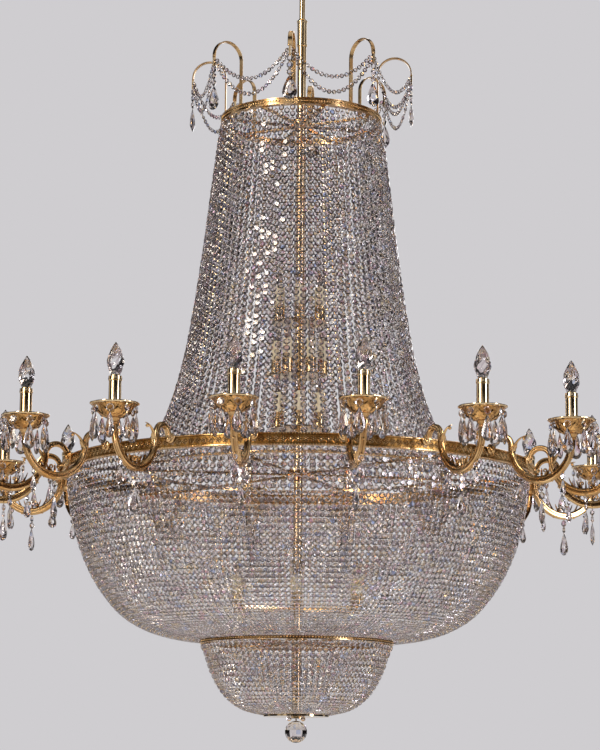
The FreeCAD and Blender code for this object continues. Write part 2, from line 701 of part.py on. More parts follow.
junction_foot = level_of("junction_top_level") - size("junction_height")
bowl_top = size("main_ring_radius") - size("bowl_inset")
bowl = strand((
    (bowl_top, at_level(-size("main_ring_height") / 2)),
    (bowl_top - size("bowl_brow_draw"), level_of("bowl_brow_level")),
    (bowl_top - size("bowl_shoulder_draw"), level_of("bowl_shoulder_level")),
    (bowl_top - size("bowl_belly_draw"), level_of("bowl_belly_level")),
    (bowl_top - size("bowl_turn_draw"), level_of("bowl_turn_level")),
    (bowl_top - size("bowl_floor_draw"), level_of("bowl_floor_level")),
    (size("junction_radius"), junction_foot + edge),
), count("bowl_strand_count"), -Z_AXIS)
shaped("bowl_strands", group(around(bowl, count("bowl_strand_count"))))

lower = strand((
    (size("junction_radius") - edge, junction_foot),
    (size("junction_radius") - size("lower_shoulder_draw"), level_of("lower_shoulder_level")),
    (size("junction_radius") - size("lower_belly_draw"), level_of("lower_belly_level")),
    (size("junction_radius") - size("lower_turn_draw"), level_of("lower_turn_level")),
    (size("disc_radius"), level_of("disc_level") - size("disc_thickness") + edge),
), count("lower_strand_count"), -Z_AXIS)
shaped("lower_strands", group(around(lower, count("lower_strand_count"))))

# ---- the ball ----

ball_link_top = cap_top - size("cap_height") - size("swing_gap")
link_side = size("ball_link_side")
ball_link = Part.makeBox(link_side, link_side, size("ball_link_length"),
                         FreeCAD.Vector(-link_side / 2, -link_side / 2,
                                        ball_link_top - size("ball_link_length")))
shaped("ball_link", ball_link)
ball_top = ball_link_top - size("ball_link_length") - size("swing_gap")
BALL_SIDES = 8
BALL_ROWS = (-87, -60, -30, 0, 30, 60, 87)


def faceted_ball(middle, radius):
    """A cut ball with rows of flat facets and a small flat at its top and foot."""
    loops = []
    for row in BALL_ROWS:
        loop = []
        for i in range(BALL_SIDES):
            turn = 2 * math.pi * i / BALL_SIDES
            reach = radius * math.cos(math.radians(row))
            rise = radius * math.sin(math.radians(row))
            loop.append(FreeCAD.Vector(reach * math.cos(turn), reach * math.sin(turn), middle + rise))
        loops.append(loop)
    return stacked(loops)


def stacked(loops):
    """A closed solid between level loops of as many points, from the first to the last."""
    faces = [loops[0][::-1], loops[-1]]
    for low, high in zip(loops, loops[1:]):
        for i in range(len(low)):
            j = (i + 1) % len(low)
            faces.append((low[i], low[j], high[j], high[i]))
    return flat_faced(faces)


ball_reach = size("ball_radius") / math.sin(math.radians(BALL_ROWS[-1]))
shaped("crystal_ball", faceted_ball(ball_top - size("ball_radius"), ball_reach))

# ---- the scroll arms with their candles ----

ring_outside = size("main_ring_radius")
centre = level_of("arm_centre_level")
arch_middle = ring_outside + size("arm_foot_length") + size("arm_arch")
scroll_middle = arch_middle + size("arm_arch") + size("arm_scroll")
pan_place = scroll_middle + size("arm_scroll")
thin = size("arch_depth") / 2
thick = size("scroll_depth") / 2
arch_out = size("arm_arch") + thin
arch_in = size("arm_arch") - thin
scroll_out = size("arm_scroll") + thick
scroll_in = size("arm_scroll") - thick
ring_level = at_level(0)
pan_foot = level_of("pan_level")


def bar_of_arcs(start, path, width):
    """A plate whose outline runs through path: a point for a line, or two points for an arc."""
    edges = []
    here = start
    for step in path:
        if len(step) == 1:
            edges.append(line(here, step[0]))
        else:
            edges.append(arc(here, step[0], step[1]))
        here = step[-1]
    edges.append(line(here, start))
    return plate(edges, width)


arm = bar_of_arcs(point(arch_middle - arch_out, ring_level), (
    (point(arch_middle - arch_out, centre),),
    (point(arch_middle, centre + arch_out), point(arch_middle + arch_out, centre)),
    (point(scroll_middle - scroll_in, centre),),
    (point(scroll_middle, centre - scroll_in), point(scroll_middle + scroll_in, centre)),
    (point(scroll_middle + scroll_in, pan_foot),),
    (point(scroll_middle + scroll_out, pan_foot),),
    (point(scroll_middle + scroll_out, centre),),
    (point(scroll_middle, centre - scroll_out), point(scroll_middle - scroll_out, centre)),
    (point(arch_middle + arch_in, centre),),
    (point(arch_middle, centre + arch_in), point(arch_middle - arch_in, centre)),
    (point(arch_middle - arch_in, ring_level),),
), size("arm_width"))
foot_side = size("arm_foot_side")
foot = Part.makeBox(size("arm_foot_length"), foot_side, foot_side,
                    FreeCAD.Vector(ring_outside, -foot_side / 2, ring_level - foot_side / 2))
leaf_root = scroll_middle - scroll_in
rise = size("leaf_rise")
leaf_low = point(scroll_middle - math.sqrt(scroll_in ** 2 - rise ** 2) - thin / 3, centre - rise)
leaf = bar_of_arcs(point(leaf_root - thin / 3, centre), (
    (point(leaf_root + rise * 0.25, centre + rise * 0.8), point(leaf_root + rise * 1.4, centre + rise)),
    (point(leaf_root + rise * 0.55, centre + rise * 0.3), leaf_low),
), size("leaf_width"))
arms = count("arm_count")
arm_turn = size("arm_turn")
shaped("candle_arms", group(around(arm.fuse([foot, leaf]), arms, arm_turn)))

nut_side = size("nut_side")
nut = Part.makeBox(size("nut_height"), nut_side, nut_side,
                   FreeCAD.Vector(ring_outside - size("ring_wall") - size("fit_gap") - size("nut_height"),
                                  -nut_side / 2, ring_level - nut_side / 2))
shaped("arm_nuts", group(around(nut, arms, arm_turn)))

pan_floor = pan_foot + size("pan_wall")
pan_rim = pan_foot + size("pan_rise")
belly = pan_foot + size("pan_belly_rise")
wall = size("pan_wall")
pan_outline = (
    (size("pan_foot_radius"), pan_foot),
    (size("pan_belly_radius"), belly),
    (size("pan_radius"), pan_rim),
    (size("pan_radius") - wall, pan_rim),
    (size("pan_belly_radius") - wall / 2, belly + wall),
    (size("pan_foot_radius") + wall / 2, pan_floor),
)
pan_sides = count("pan_sides")
pan_loops = []
for reach, height in pan_outline:
    loop = []
    for i in range(pan_sides):
        turn = 2 * math.pi * i / pan_sides
        loop.append(FreeCAD.Vector(pan_place + reach * math.cos(turn), reach * math.sin(turn), height))
    pan_loops.append(loop)
shaped("drip_pans", group(around(stacked(pan_loops), arms, arm_turn)))

tube_top = level_of("tube_top_level")
tube = Part.makeCylinder(size("tube_radius"), tube_top - pan_floor, point(pan_place, pan_floor))
shaped("candle_tubes", group(around(tube, arms, arm_turn)))
lamp_cap = prism(point(pan_place, tube_top), size("lamp_cap_radius"), size("lamp_cap_height"), 6)
shaped("lamp_caps", group(around(lamp_cap, arms, arm_turn)))
bulb_foot = point(pan_place, tube_top + size("lamp_cap_height"))
bulb = flame(bulb_foot, size("bulb_radius"), size("bulb_length"))
shaped("candle_bulbs", group(around(bulb, arms, arm_turn)))

drop_slope = (pan_rim - belly) / (size("pan_radius") - size("pan_belly_radius"))
under_pan = belly + drop_slope * (size("pan_drop_circle") - size("pan_belly_radius"))
drop_top = point(pan_place + size("pan_drop_circle"), under_pan - size("swing_gap"))
pan_drop = cut_bead(drop_top, size("pan_drop_length"), size("pan_drop_width"),
                    2 * size("bead_thickness"), 0.68)
arm_drops = []
for i in range(count("pan_drop_count")):
    copy = pan_drop.copy()
    copy.rotate(point(pan_place, 0), Z_AXIS, 360.0 * i / count("pan_drop_count"))
    arm_drops.append(copy)

spread = size("pendant_spread")
pendant_top = centre - math.sqrt(scroll_out ** 2 - spread ** 2) - size("swing_gap")
for offset in (-spread, spread):
    arm_drops.append(cut_bead(point(scroll_middle + offset, pendant_top), size("pendant_length"),
                              size("pendant_width"), 2 * size("bead_thickness"), 0.65))
shaped("arm_drops", group(around(group(arm_drops), arms, arm_turn)))

string_top = centre - scroll_out - size("swing_gap")
string = []
here = string_top
for length, width, place in ((size("string_bead_length"), size("string_bead_width"), 0.5),
                             (size("string_drop_length"), size("string_drop_width"), 0.62)):
    string.append(cut_bead(point(scroll_middle, here), length, width, 2 * size("bead_thickness"), place))
    here -= length
for i, piece in enumerate(around(group(string), arms, arm_turn), start=1):
    shaped("arm_string_%02d" % i, piece)

# ---- the lamps inside the net ----

carriers = []
sleeves = []
small_bulbs = []
plate_thick = size("tier_plate_thickness")


def inner_lamp(reach, foot_level, sleeve_length):
    """A sleeve with its bulb on +X, standing on a level."""
    sleeve = prism(point(reach, foot_level), size("sleeve_radius"), sleeve_length, 8)
    small = flame(point(reach, foot_level + sleeve_length), size("small_bulb_radius"),
                  size("small_bulb_length"))
    return sleeve, small


tier_sleeve = size("tier_sleeve_length")
for tier in range(count("tier_count")):
    plate_top = level_of("tier_top_level") - tier * size("tier_pitch") - tier_sleeve
    disc = prism(FreeCAD.Vector(0, 0, plate_top - plate_thick), size("tier_plate_radius"), plate_thick, 8)
    carriers.append(disc.cut(tube_on_axis(size("column_radius") + size("fit_gap"), plate_top,
                                          plate_top - plate_thick)))
    sleeve, small = inner_lamp(size("sleeve_circle"), plate_top, tier_sleeve)
    first = 180.0 / count("tier_lamps") * tier
    sleeves += around(sleeve, count("tier_lamps"), first)
    small_bulbs += around(small, count("tier_lamps"), first)

bar = size("bowl_bar")
bar_top = level_of("bowl_lamp_level")
reach = size("bowl_lamp_reach")
lamp_bar = Part.makeBox(reach - size("column_radius") + size("sleeve_radius"), bar, bar,
                        FreeCAD.Vector(size("column_radius"), -bar / 2, bar_top - bar))
carriers += around(lamp_bar, count("bowl_lamp_count"))
shaped("lamp_carriers", group(carriers))
sleeve, small = inner_lamp(reach, bar_top, size("bowl_sleeve_length"))
sleeves += around(sleeve, count("bowl_lamp_count"))
small_bulbs += around(small, count("bowl_lamp_count"))
shaped("inner_sleeves", group(sleeves))
shaped("inner_bulbs", group(small_bulbs))

# ---- checks and export ----

probe = doc.getObject("Probe")
if probe:
    doc.removeObject(probe.Name)
doc.recompute()
for item in doc.Objects:
    if "Invalid" in item.State or "Error" in item.State:
        raise RuntimeError("%s did not recompute: %s" % (item.Label, item.State))
for item in parts:
    if item.Shape.isNull() or not item.Shape.isValid():
        raise RuntimeError("%s has no valid shape" % item.Label)

os.makedirs("parts", exist_ok=True)
for item in parts:
    item.Shape.exportStep("parts/%s.step" % item.Label)
print("%d sub-parts written" % len(parts))
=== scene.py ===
import math
import random

import bmesh
import bpy
from mathutils import Matrix, Vector


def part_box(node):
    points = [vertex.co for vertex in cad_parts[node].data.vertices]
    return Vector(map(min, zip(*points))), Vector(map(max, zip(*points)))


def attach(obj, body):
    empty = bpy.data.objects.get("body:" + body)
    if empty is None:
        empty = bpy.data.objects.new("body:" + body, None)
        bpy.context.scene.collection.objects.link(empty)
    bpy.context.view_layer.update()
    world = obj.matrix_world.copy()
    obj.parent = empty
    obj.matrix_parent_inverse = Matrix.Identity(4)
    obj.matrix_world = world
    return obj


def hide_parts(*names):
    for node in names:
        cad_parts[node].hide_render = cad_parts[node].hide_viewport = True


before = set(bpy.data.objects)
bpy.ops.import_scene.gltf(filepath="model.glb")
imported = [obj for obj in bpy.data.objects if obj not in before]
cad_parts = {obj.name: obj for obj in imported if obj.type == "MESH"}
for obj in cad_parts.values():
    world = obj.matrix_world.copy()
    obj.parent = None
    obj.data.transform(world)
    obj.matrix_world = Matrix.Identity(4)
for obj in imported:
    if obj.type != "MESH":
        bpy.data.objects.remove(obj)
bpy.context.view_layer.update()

# The photograph's view. A long lens stands low in the room and looks up at the main ring, as
# fitted to the ring, the arms and the strands. Lengths in this script are metres.

MM = 0.001
ring_low, ring_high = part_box("main_ring")
RING_LEVEL = (ring_low.z + ring_high.z) / 2
CAMERA_DISTANCE = 5.487
CAMERA_BELOW_RING = 0.728
CAMERA_SIDE = 0.002
CAMERA_TILT = 9.79
CAMERA_ROLL = 0.5
FOCAL_PIXELS = 2494
FRAME_HEIGHT = 750

scene = bpy.context.scene
camera = bpy.data.objects.new("camera", bpy.data.cameras.new("camera"))
scene.collection.objects.link(camera)
camera.data.sensor_width = 36
camera.data.lens = FOCAL_PIXELS / FRAME_HEIGHT * camera.data.sensor_width
camera.data.clip_end = 60
camera.location = (CAMERA_SIDE, -CAMERA_DISTANCE, RING_LEVEL - CAMERA_BELOW_RING)
tilt = Matrix.Rotation(math.radians(90 + CAMERA_TILT), 4, "X")
camera.rotation_euler = (tilt @ Matrix.Rotation(math.radians(CAMERA_ROLL), 4, "Z")).to_euler()
scene.camera = camera
scene.view_settings.view_transform = "Standard"

# The studio: a pale floor below the chandelier, a pale backdrop all round and four soft lamps.
# Metal and glass show the floor and the backdrop too, with dark cards set up beside and over the
# camera that give their edges contrast. The two lamps behind and below don't show through glass.


def linear(colour):
    """An sRGB hex colour as Blender's linear values."""
    values = [int(colour[i:i + 2], 16) / 255 for i in (1, 3, 5)]
    return [v / 12.92 if v <= 0.04045 else ((v + 0.055) / 1.055) ** 2.4 for v in values] + [1.0]


def add(tree, kind, values=None, links=None, **settings):
    """Adds a shader node: settings are its attributes, values and links fill its inputs."""
    new = tree.nodes.new(kind)
    for name, value in settings.items():
        setattr(new, name, value)
    for name, value in (values or {}).items():
        new.inputs[name].default_value = value
    for name, source in (links or {}).items():
        tree.links.new(source, new.inputs[name])
    return new


def material(name, **surface):
    """A material, its tree and its main shader, whose inputs are set by name."""
    new = bpy.data.materials.new(name)
    new.use_nodes = True
    tree = new.node_tree
    shader = tree.nodes["Principled BSDF"]
    for key, value in surface.items():
        shader.inputs[key.replace("_", " ")].default_value = value
    return new, tree, shader


BACKDROP_COLOUR = "#CFCDD0"
CARD_COLOUR = "#171516"
CARD_SHARE = 0.78
CARD_SIZE = 0.3
BEHIND = 0.9
ROOM_LIGHT = 0.42
FLOOR_COLOUR = "#B8B6B5"
FLOOR_GLOW = 0.38
FLOOR_LEVEL = -2.75
FLOOR_RADIUS = 14


def rays_that_look(tree):
    """The light path node, and 1 for rays of the camera and those that metal or glass sends on."""
    path = add(tree, "ShaderNodeLightPath")
    looking = path.outputs["Is Camera Ray"]
    for kind in ("Is Glossy Ray", "Is Transmission Ray"):
        looking = add(tree, "ShaderNodeMath", links={0: looking, 1: path.outputs[kind]},
                      operation="MAXIMUM").outputs[0]
    return path, looking


world = bpy.data.worlds.new("studio")
scene.world = world
world.use_nodes = True
sky = world.node_tree
sky.nodes.clear()
path, shown = rays_that_look(sky)
way = add(sky, "ShaderNodeTexCoord").outputs["Generated"]
cells = add(sky, "ShaderNodeTexVoronoi", {"Scale": 1 / CARD_SIZE}, {"Vector": way})
pick = add(sky, "ShaderNodeSeparateColor", links={0: cells.outputs["Color"]})
card = add(sky, "ShaderNodeMath", {1: CARD_SHARE}, {0: pick.outputs[0]},
           operation="LESS_THAN").outputs[0]
depth = add(sky, "ShaderNodeSeparateXYZ", links={0: way})
beside = add(sky, "ShaderNodeMath", {1: BEHIND}, {0: depth.outputs["Y"]}, operation="LESS_THAN")
unseen = add(sky, "ShaderNodeMath", {0: 1.0}, {1: path.outputs["Is Camera Ray"]},
             operation="SUBTRACT")
for part in (beside, unseen):
    card = add(sky, "ShaderNodeMath", links={0: card, 1: part.outputs[0]},
               operation="MULTIPLY").outputs[0]
tone = add(sky, "ShaderNodeMix", {6: linear(BACKDROP_COLOUR), 7: linear(CARD_COLOUR)}, {0: card},
           data_type="RGBA")
backdrop = add(sky, "ShaderNodeBackground", {"Strength": 1.0}, {"Color": tone.outputs[2]})
light = add(sky, "ShaderNodeBackground", {"Color": linear("#FFFDF8"), "Strength": ROOM_LIGHT})
both = add(sky, "ShaderNodeMixShader",
           links={0: shown, 1: light.outputs[0], 2: backdrop.outputs[0]})
add(sky, "ShaderNodeOutputWorld", links={"Surface": both.outputs[0]})

LAMPS = (
    ("key", (-3.2, -3.6, 0.6), 1.0, 3.0, 130, "#FFF4E4"),
    ("fill", (3.8, -2.6, -0.6), 0.8, 2.8, 80, "#F6F4FF"),
    ("back", (0.6, 4.2, 0.9), 2.4, 2.4, 36, "#FFFFFF"),
    ("low", (0.0, 0.0, -2.6), 1.6, 1.6, 5, "#FFF6EA"),
)
for name, place, width, height, power, colour in LAMPS:
    lamp = bpy.data.lights.new(name, "AREA")
    lamp.energy = power
    lamp.shape = "RECTANGLE"
    lamp.size = width
    lamp.size_y = height
    lamp.color = linear(colour)[:3]
    holder = bpy.data.objects.new(name, lamp)
    holder.location = place
    holder.visible_transmission = name not in ("back", "low")
    aim = Vector((0, 0, RING_LEVEL + 0.1)) - Vector(place)
    holder.rotation_euler = aim.to_track_quat("-Z", "Y").to_euler()
    scene.collection.objects.link(holder)


def made(name, shape, *materials):
    """Makes an object at the origin from a shape, with its materials."""
    mesh = bpy.data.meshes.new(name)
    shape.to_mesh(mesh)
    shape.free()
    for finish in materials:
        mesh.materials.append(finish)
    piece = bpy.data.objects.new(name, mesh)
    scene.collection.objects.link(piece)
    return piece


def soften(piece, degrees):
    """Shades a piece smooth, apart from the edges that turn by more than an angle."""
    shape = bmesh.new()
    shape.from_mesh(piece.data)
    for edge in shape.edges:
        edge.smooth = edge.calc_face_angle(0.0) < math.radians(degrees)
    for face in shape.faces:
        face.smooth = True
    shape.to_mesh(piece.data)
    shape.free()


floor_paint, paint, surface = material("matt_floor_paint", Base_Color=linear(FLOOR_COLOUR),
                                       Roughness=0.9, Emission_Color=linear(BACKDROP_COLOUR))
glow = add(paint, "ShaderNodeMath", {1: FLOOR_GLOW}, {0: rays_that_look(paint)[1]},
           operation="MULTIPLY")
paint.links.new(glow.outputs[0], surface.inputs["Emission Strength"])
shape = bmesh.new()
bmesh.ops.create_circle(shape, cap_ends=True, segments=96, radius=FLOOR_RADIUS,
                        matrix=Matrix.Translation((0, 0, FLOOR_LEVEL)))
made("floor", shape, floor_paint)

# Brass in an antique gold: cast and lacquered on the arms, rings and crown, browned on the main
# ring's face, chased with small punches on the pans, turned and polished on tubes and rims.
# Polish leaves raised parts bright, and warmer clouds are stains. An occlusion mask darkens
# hollows to brown, which is partly patina and partly painted shade.

# A pan's real punch marks are about 2 mm apart, and casting grain is finer still. Both are drawn
# as coarse as they need to be to show.
PUNCH = 5 * MM
GRAIN = 2.5 * MM


def brass(name, bright, warm, dark, roughness, hollow, cloud, chasing=0.0):
    """Polished brass: hollow and cloud are the sizes of its dark recesses, with their patina and
    painted shade, and of its stains, and chasing is the depth of the punched pattern on its face."""
    new, tree, shader = material(name, Metallic=1.0, Roughness=roughness)
    place = add(tree, "ShaderNodeTexCoord")
    stain = add(tree, "ShaderNodeTexNoise", {"Scale": 1 / cloud, "Detail": 4.0, "Roughness": 0.6},
                {"Vector": place.outputs["Object"]})
    tone = add(tree, "ShaderNodeValToRGB", links={"Fac": stain.outputs["Fac"]})
    for stop, position, colour in zip(tone.color_ramp.elements, (0.35, 0.62), (warm, bright)):
        stop.position = position
        stop.color = linear(colour)
    # Painted shade: occlusion darkens hollows towards the dark colour, which stands for patina as
    # well.
    depth = add(tree, "ShaderNodeAmbientOcclusion", {"Distance": hollow}, samples=4,
                only_local=True)
    reach = add(tree, "ShaderNodeMapRange", {"From Min": 0.30, "From Max": 0.86},
                {"Value": depth.outputs["AO"]})
    patina_and_painted_shade = add(tree, "ShaderNodeMix", {6: linear(dark)}, {0: reach.outputs[0], 7: tone.outputs[0]},
               data_type="RGBA")
    tree.links.new(patina_and_painted_shade.outputs[2], shader.inputs["Base Color"])
    grain = add(tree, "ShaderNodeTexNoise", {"Scale": 1 / GRAIN, "Detail": 2.0},
                {"Vector": place.outputs["Object"]})
    bump = add(tree, "ShaderNodeBump", {"Strength": 0.12, "Distance": 0.2 * MM},
               {"Height": grain.outputs["Fac"]})
    if chasing:
        punch = add(tree, "ShaderNodeTexVoronoi", {"Scale": 1 / PUNCH},
                    {"Vector": place.outputs["Object"]}, feature="SMOOTH_F1")
        beaten = add(tree, "ShaderNodeBump", {"Strength": 1.0, "Distance": chasing},
                     {"Height": punch.outputs["Distance"]})
        tree.links.new(beaten.outputs[0], bump.inputs["Normal"])
    tree.links.new(bump.outputs[0], shader.inputs["Normal"])
    return new


cast_brass = brass("lacquered_cast_brass", "#E8C692", "#C9985C", "#4E3118", 0.2, 7 * MM, 60 * MM)
patina_brass = brass("brown_patina_brass", "#B48C4E", "#87602F", "#35200F", 0.34, 4 * MM, 30 * MM)
chased_brass = brass("chased_pan_brass", "#D2A76C", "#A0703A", "#3C2410", 0.22, 5 * MM, 30 * MM,
                     1.6 * MM)
turned_brass = brass("polished_turned_brass", "#F3DDB4", "#E2BE88", "#7C5530", 0.12, 5 * MM,
                     90 * MM)

# Clear cut lead crystal. Its flat facets throw back either the lamps or the dark between them.
# Each bead has a pale tint of its own. A few warm beads are a painted gold reflection of the gilt
# parts, and the blue and pink ones are painted split light from cut edges.

BEAD_TINTS_AND_PAINTED_GLINTS = ((0.0, "#F5EEEC"), (0.34, "#DFD4D4"), (0.56, "#FFFFFF"), (0.7, "#C9BCC2"),
              (0.82, "#F0DCB8"), (0.9, "#B9C8EE"), (0.95, "#EBC4D2"))
BEAD_CELL = 9 * MM
cut_crystal, tree, shader = material("cut_lead_crystal", Roughness=0.02, IOR=1.56,
                                     Transmission_Weight=1.0)
place = add(tree, "ShaderNodeTexCoord")
cells = add(tree, "ShaderNodeTexVoronoi", {"Scale": 1 / BEAD_CELL},
            {"Vector": place.outputs["Object"]})
pick = add(tree, "ShaderNodeSeparateColor", links={0: cells.outputs["Color"]})
ramp = add(tree, "ShaderNodeValToRGB", links={"Fac": pick.outputs[0]})
ramp.color_ramp.interpolation = "CONSTANT"
stops = ramp.color_ramp.elements
stops[0].color = linear(BEAD_TINTS_AND_PAINTED_GLINTS[0][1])
stops[1].position = BEAD_TINTS_AND_PAINTED_GLINTS[1][0]
stops[1].color = linear(BEAD_TINTS_AND_PAINTED_GLINTS[1][1])
for position, colour in BEAD_TINTS_AND_PAINTED_GLINTS[2:]:
    stops.new(position).color = linear(colour)
tree.links.new(ramp.outputs[0], shader.inputs["Base Color"])

# Ceiling fitting: a steel plate bolted to the ceiling, whose threaded boss takes the rod. It is
# pressed and zinc plated, and the canopy hides it.

zinc = material("zinc_plated_steel", Base_Color=linear("#B9B6AF"), Metallic=1.0,
                Roughness=0.36)[0]


def finish_node(name, surface):
    """Gives a CAD node that stays in view its finish."""
    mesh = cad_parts[name].data
    if not mesh.materials:
        mesh.materials.append(surface)
    for place in range(len(mesh.materials)):
        mesh.materials[place] = surface


finish_node("ceiling_plate", zinc)

# Rod, coupler, column and spiders: drawn tube and turned or cast brass that stays as it is
# built, with the polish of the other turned parts.

for name in ("suspension_rod", "column_tube", "canopy_collar", "collar_screw", "crown_links"):
    finish_node(name, turned_brass)
for name in ("upper_spider", "main_spider", "junction_spider"):
    finish_node(name, cast_brass)

# Coupler: a turned brass sleeve with a collar near each end. It joins the rod to the column, and
# all of the chandelier hangs from it.

MERGE = 0.00001


def outward(shape):
    """Turns every face of a shape outwards."""
    bmesh.ops.recalc_face_normals(shape, faces=shape.faces[:])


def turned(shape, outline, steps=64, middle=(0, 0, 0)):
    """Spins an outline of (radius, height) points about a vertical axis into a skin."""
    middle = Vector(middle)
    verts = [shape.verts.new(middle + Vector((radius, 0, height))) for radius, height in outline]
    edges = [shape.edges.new(pair) for pair in zip(verts, verts[1:])]
    bmesh.ops.spin(shape, geom=verts + edges, cent=middle, axis=(0, 0, 1),
                   angle=2 * math.pi, steps=steps, use_merge=True)
    bmesh.ops.remove_doubles(shape, verts=shape.verts[:], dist=MERGE)


def band_section(outside, low, high, *points):
    """Outline points from (millimetres out, millimetres up, edge), where out is from the outside
    and up is from the low edge for 0 and from the high one for 1."""
    return [(outside + out * MM, (low.z, high.z)[edge] + up * MM) for out, up, edge in points]


coupler_low, coupler_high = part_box("rod_coupler")
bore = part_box("suspension_rod")[1].x + 0.3 * MM
shape = bmesh.new()
turned(shape, [(bore, coupler_low.z)]
       + band_section(coupler_high.x - 0.4 * MM, coupler_low, coupler_high, (-0.8, 0, 0),
                      (0, 0.8, 0), (0, 4, 0), (-1.2, 5, 0), (-1.2, -8, 1), (0, -7, 1), (0, -4, 1))
       + [(bore + 1.5 * MM, coupler_high.z), (bore, coupler_high.z), (bore, coupler_low.z)], 36)
outward(shape)
sleeve = made("column_coupler", shape, turned_brass)
soften(sleeve, 32)
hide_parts("rod_coupler")
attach(sleeve, "root")

# Canopy: a spun brass cup with rolled steps, open at its top, that hides the ceiling plate. It
# slides on the rod, where the collar and its screw hold it up.

WALL = 1.5 * MM
canopy_low, canopy_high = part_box("canopy")
shape = bmesh.new()
height = canopy_high.z - canopy_low.z
reach = canopy_high.x
outer = ((0.1, 0.0), (0.21, 0.0), (0.24, 0.06), (0.3, 0.3), (0.42, 0.42), (0.56, 0.48),
         (0.6, 0.55), (0.72, 0.57), (0.8, 0.64), (0.9, 0.76), (0.92, 0.84), (0.985, 0.87),
         (1.0, 0.93), (1.0, 1.0))
profile = [(r * reach, canopy_low.z + z * height) for r, z in outer]
profile += [(r - WALL, z) for r, z in profile[:3:-1]] + [(0.1 * reach, canopy_low.z + WALL)]
profile.append(profile[0])
turned(shape, profile, 72)
outward(shape)
canopy = made("canopy_cup", shape, turned_brass)
soften(canopy, 32)
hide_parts("canopy")
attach(canopy, "cover")

# Top ring: a cast band with a rolled lip, a row of pearls on its face and a ledge inside that
# carries the hooked arms.


def ring_of(shape, copies, first=0.0):
    """Repeats all of a shape evenly about the vertical axis, from an angle off +X in degrees."""
    turn = 2 * math.pi / copies
    bmesh.ops.rotate(shape, verts=shape.verts[:], cent=(0, 0, 0),
                     matrix=Matrix.Rotation(math.radians(first), 3, "Z"))
    bmesh.ops.spin(shape, geom=shape.verts[:] + shape.edges[:] + shape.faces[:], cent=(0, 0, 0),
                   axis=(0, 0, 1), angle=turn * (copies - 1), steps=copies - 1, use_duplicate=True)


def shift(shape, way):
    """Shifts all of a shape by a vector."""
    bmesh.ops.translate(shape, vec=way, verts=shape.verts[:])


def joined(shape, other):
    """Moves the whole of another shape into this one."""
    passing = bpy.data.meshes.new("passing")
    other.to_mesh(passing)
    other.free()
    shape.from_mesh(passing)
    bpy.data.meshes.remove(passing)


def blob(place, half_sizes, sides=8, rows=5):
    """A rounded lump, such as a pearl or the petal of a rosette."""
    shape = bmesh.new()
    bmesh.ops.create_uvsphere(shape, u_segments=sides, v_segments=rows, radius=1.0)
    bmesh.ops.scale(shape, vec=half_sizes, verts=shape.verts[:])
    shift(shape, place)
    return shape


TOP_PEARLS = 180
PEARL = 2.6 * MM
top_low, top_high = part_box("top_ring")
shape = bmesh.new()
turned(shape, band_section(top_high.x - 0.3 * MM, top_low, top_high, (-17, 0, 0), (0, 0, 0),
                           (0, 2.1, 0), (-1.5, 3, 0), (-1.5, -3, 1), (0, -2.1, 1), (0, -0.75, 1),
                           (-1.2, 0, 1), (-4, 0, 1), (-4, 4, 0), (-17, 4, 0), (-17, 0, 0)), 128)
outward(shape)
pearls = blob((top_high.x - 1.8 * MM, 0, (top_low.z + top_high.z) / 2),
              (PEARL * 0.7, PEARL, PEARL), rows=6)
ring_of(pearls, TOP_PEARLS)
joined(shape, pearls)
top_ring = made("top_ring_band", shape, cast_brass)
soften(top_ring, 40)
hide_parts("top_ring")
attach(top_ring, "root")

# Crown arms: eight flat brass straps that rise from the top ring, arch over and end in a small
# eye, each with a turned knop at its foot and a bead at its tip.

HOOK_TURN = -96
HOOK_COUNT = 8
hook_low, hook_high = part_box("crown_hooks")
STRAP_WIDTH = 10.6 * MM
STRAP_THICKNESS = 3.1 * MM
STEM_RADIUS = 174 * MM
TIP_RADIUS = 250 * MM
ARCH = (TIP_RADIUS - STEM_RADIUS) / 2
ARCH_LEVEL = hook_high.z - 1.75 * MM - ARCH
shape = bmesh.new()
half, thick, edge = STRAP_WIDTH / 2, STRAP_THICKNESS / 2, 0.9 * MM
section = ((thick, half - edge), (thick - edge, half), (edge - thick, half),
           (-thick, half - edge), (-thick, edge - half), (edge - thick, -half),
           (thick - edge, -half), (thick, edge - half))
verts = [shape.verts.new((STEM_RADIUS + out, across, hook_low.z)) for out, across in section]
edges = [shape.edges.new((vert, beyond)) for vert, beyond in zip(verts, verts[1:] + verts[:1])]


def drawn_on(shape, edges, way):
    """Draws an open end of a tube out by a vector and gives its new end."""
    grown = bmesh.ops.extrude_edge_only(shape, edges=edges)["geom"]
    bmesh.ops.translate(shape, vec=way,
                        verts=[g for g in grown if isinstance(g, bmesh.types.BMVert)])
    return [g for g in grown if isinstance(g, bmesh.types.BMEdge)]


def swept(shape, edges, middle, degrees, steps):
    """Carries an open end of a tube round an arc and gives its new end."""
    verts = list({vert for edge in edges for vert in edge.verts})
    end = bmesh.ops.spin(shape, geom=verts + edges, cent=middle, axis=(0, 1, 0),
                         angle=math.radians(degrees), steps=steps)["geom_last"]
    return [g for g in end if isinstance(g, bmesh.types.BMEdge)]


def above(level, *pairs):
    """Outline points from (radius, height over a level), both in millimetres."""
    return [(radius * MM, level + height * MM) for radius, height in pairs]


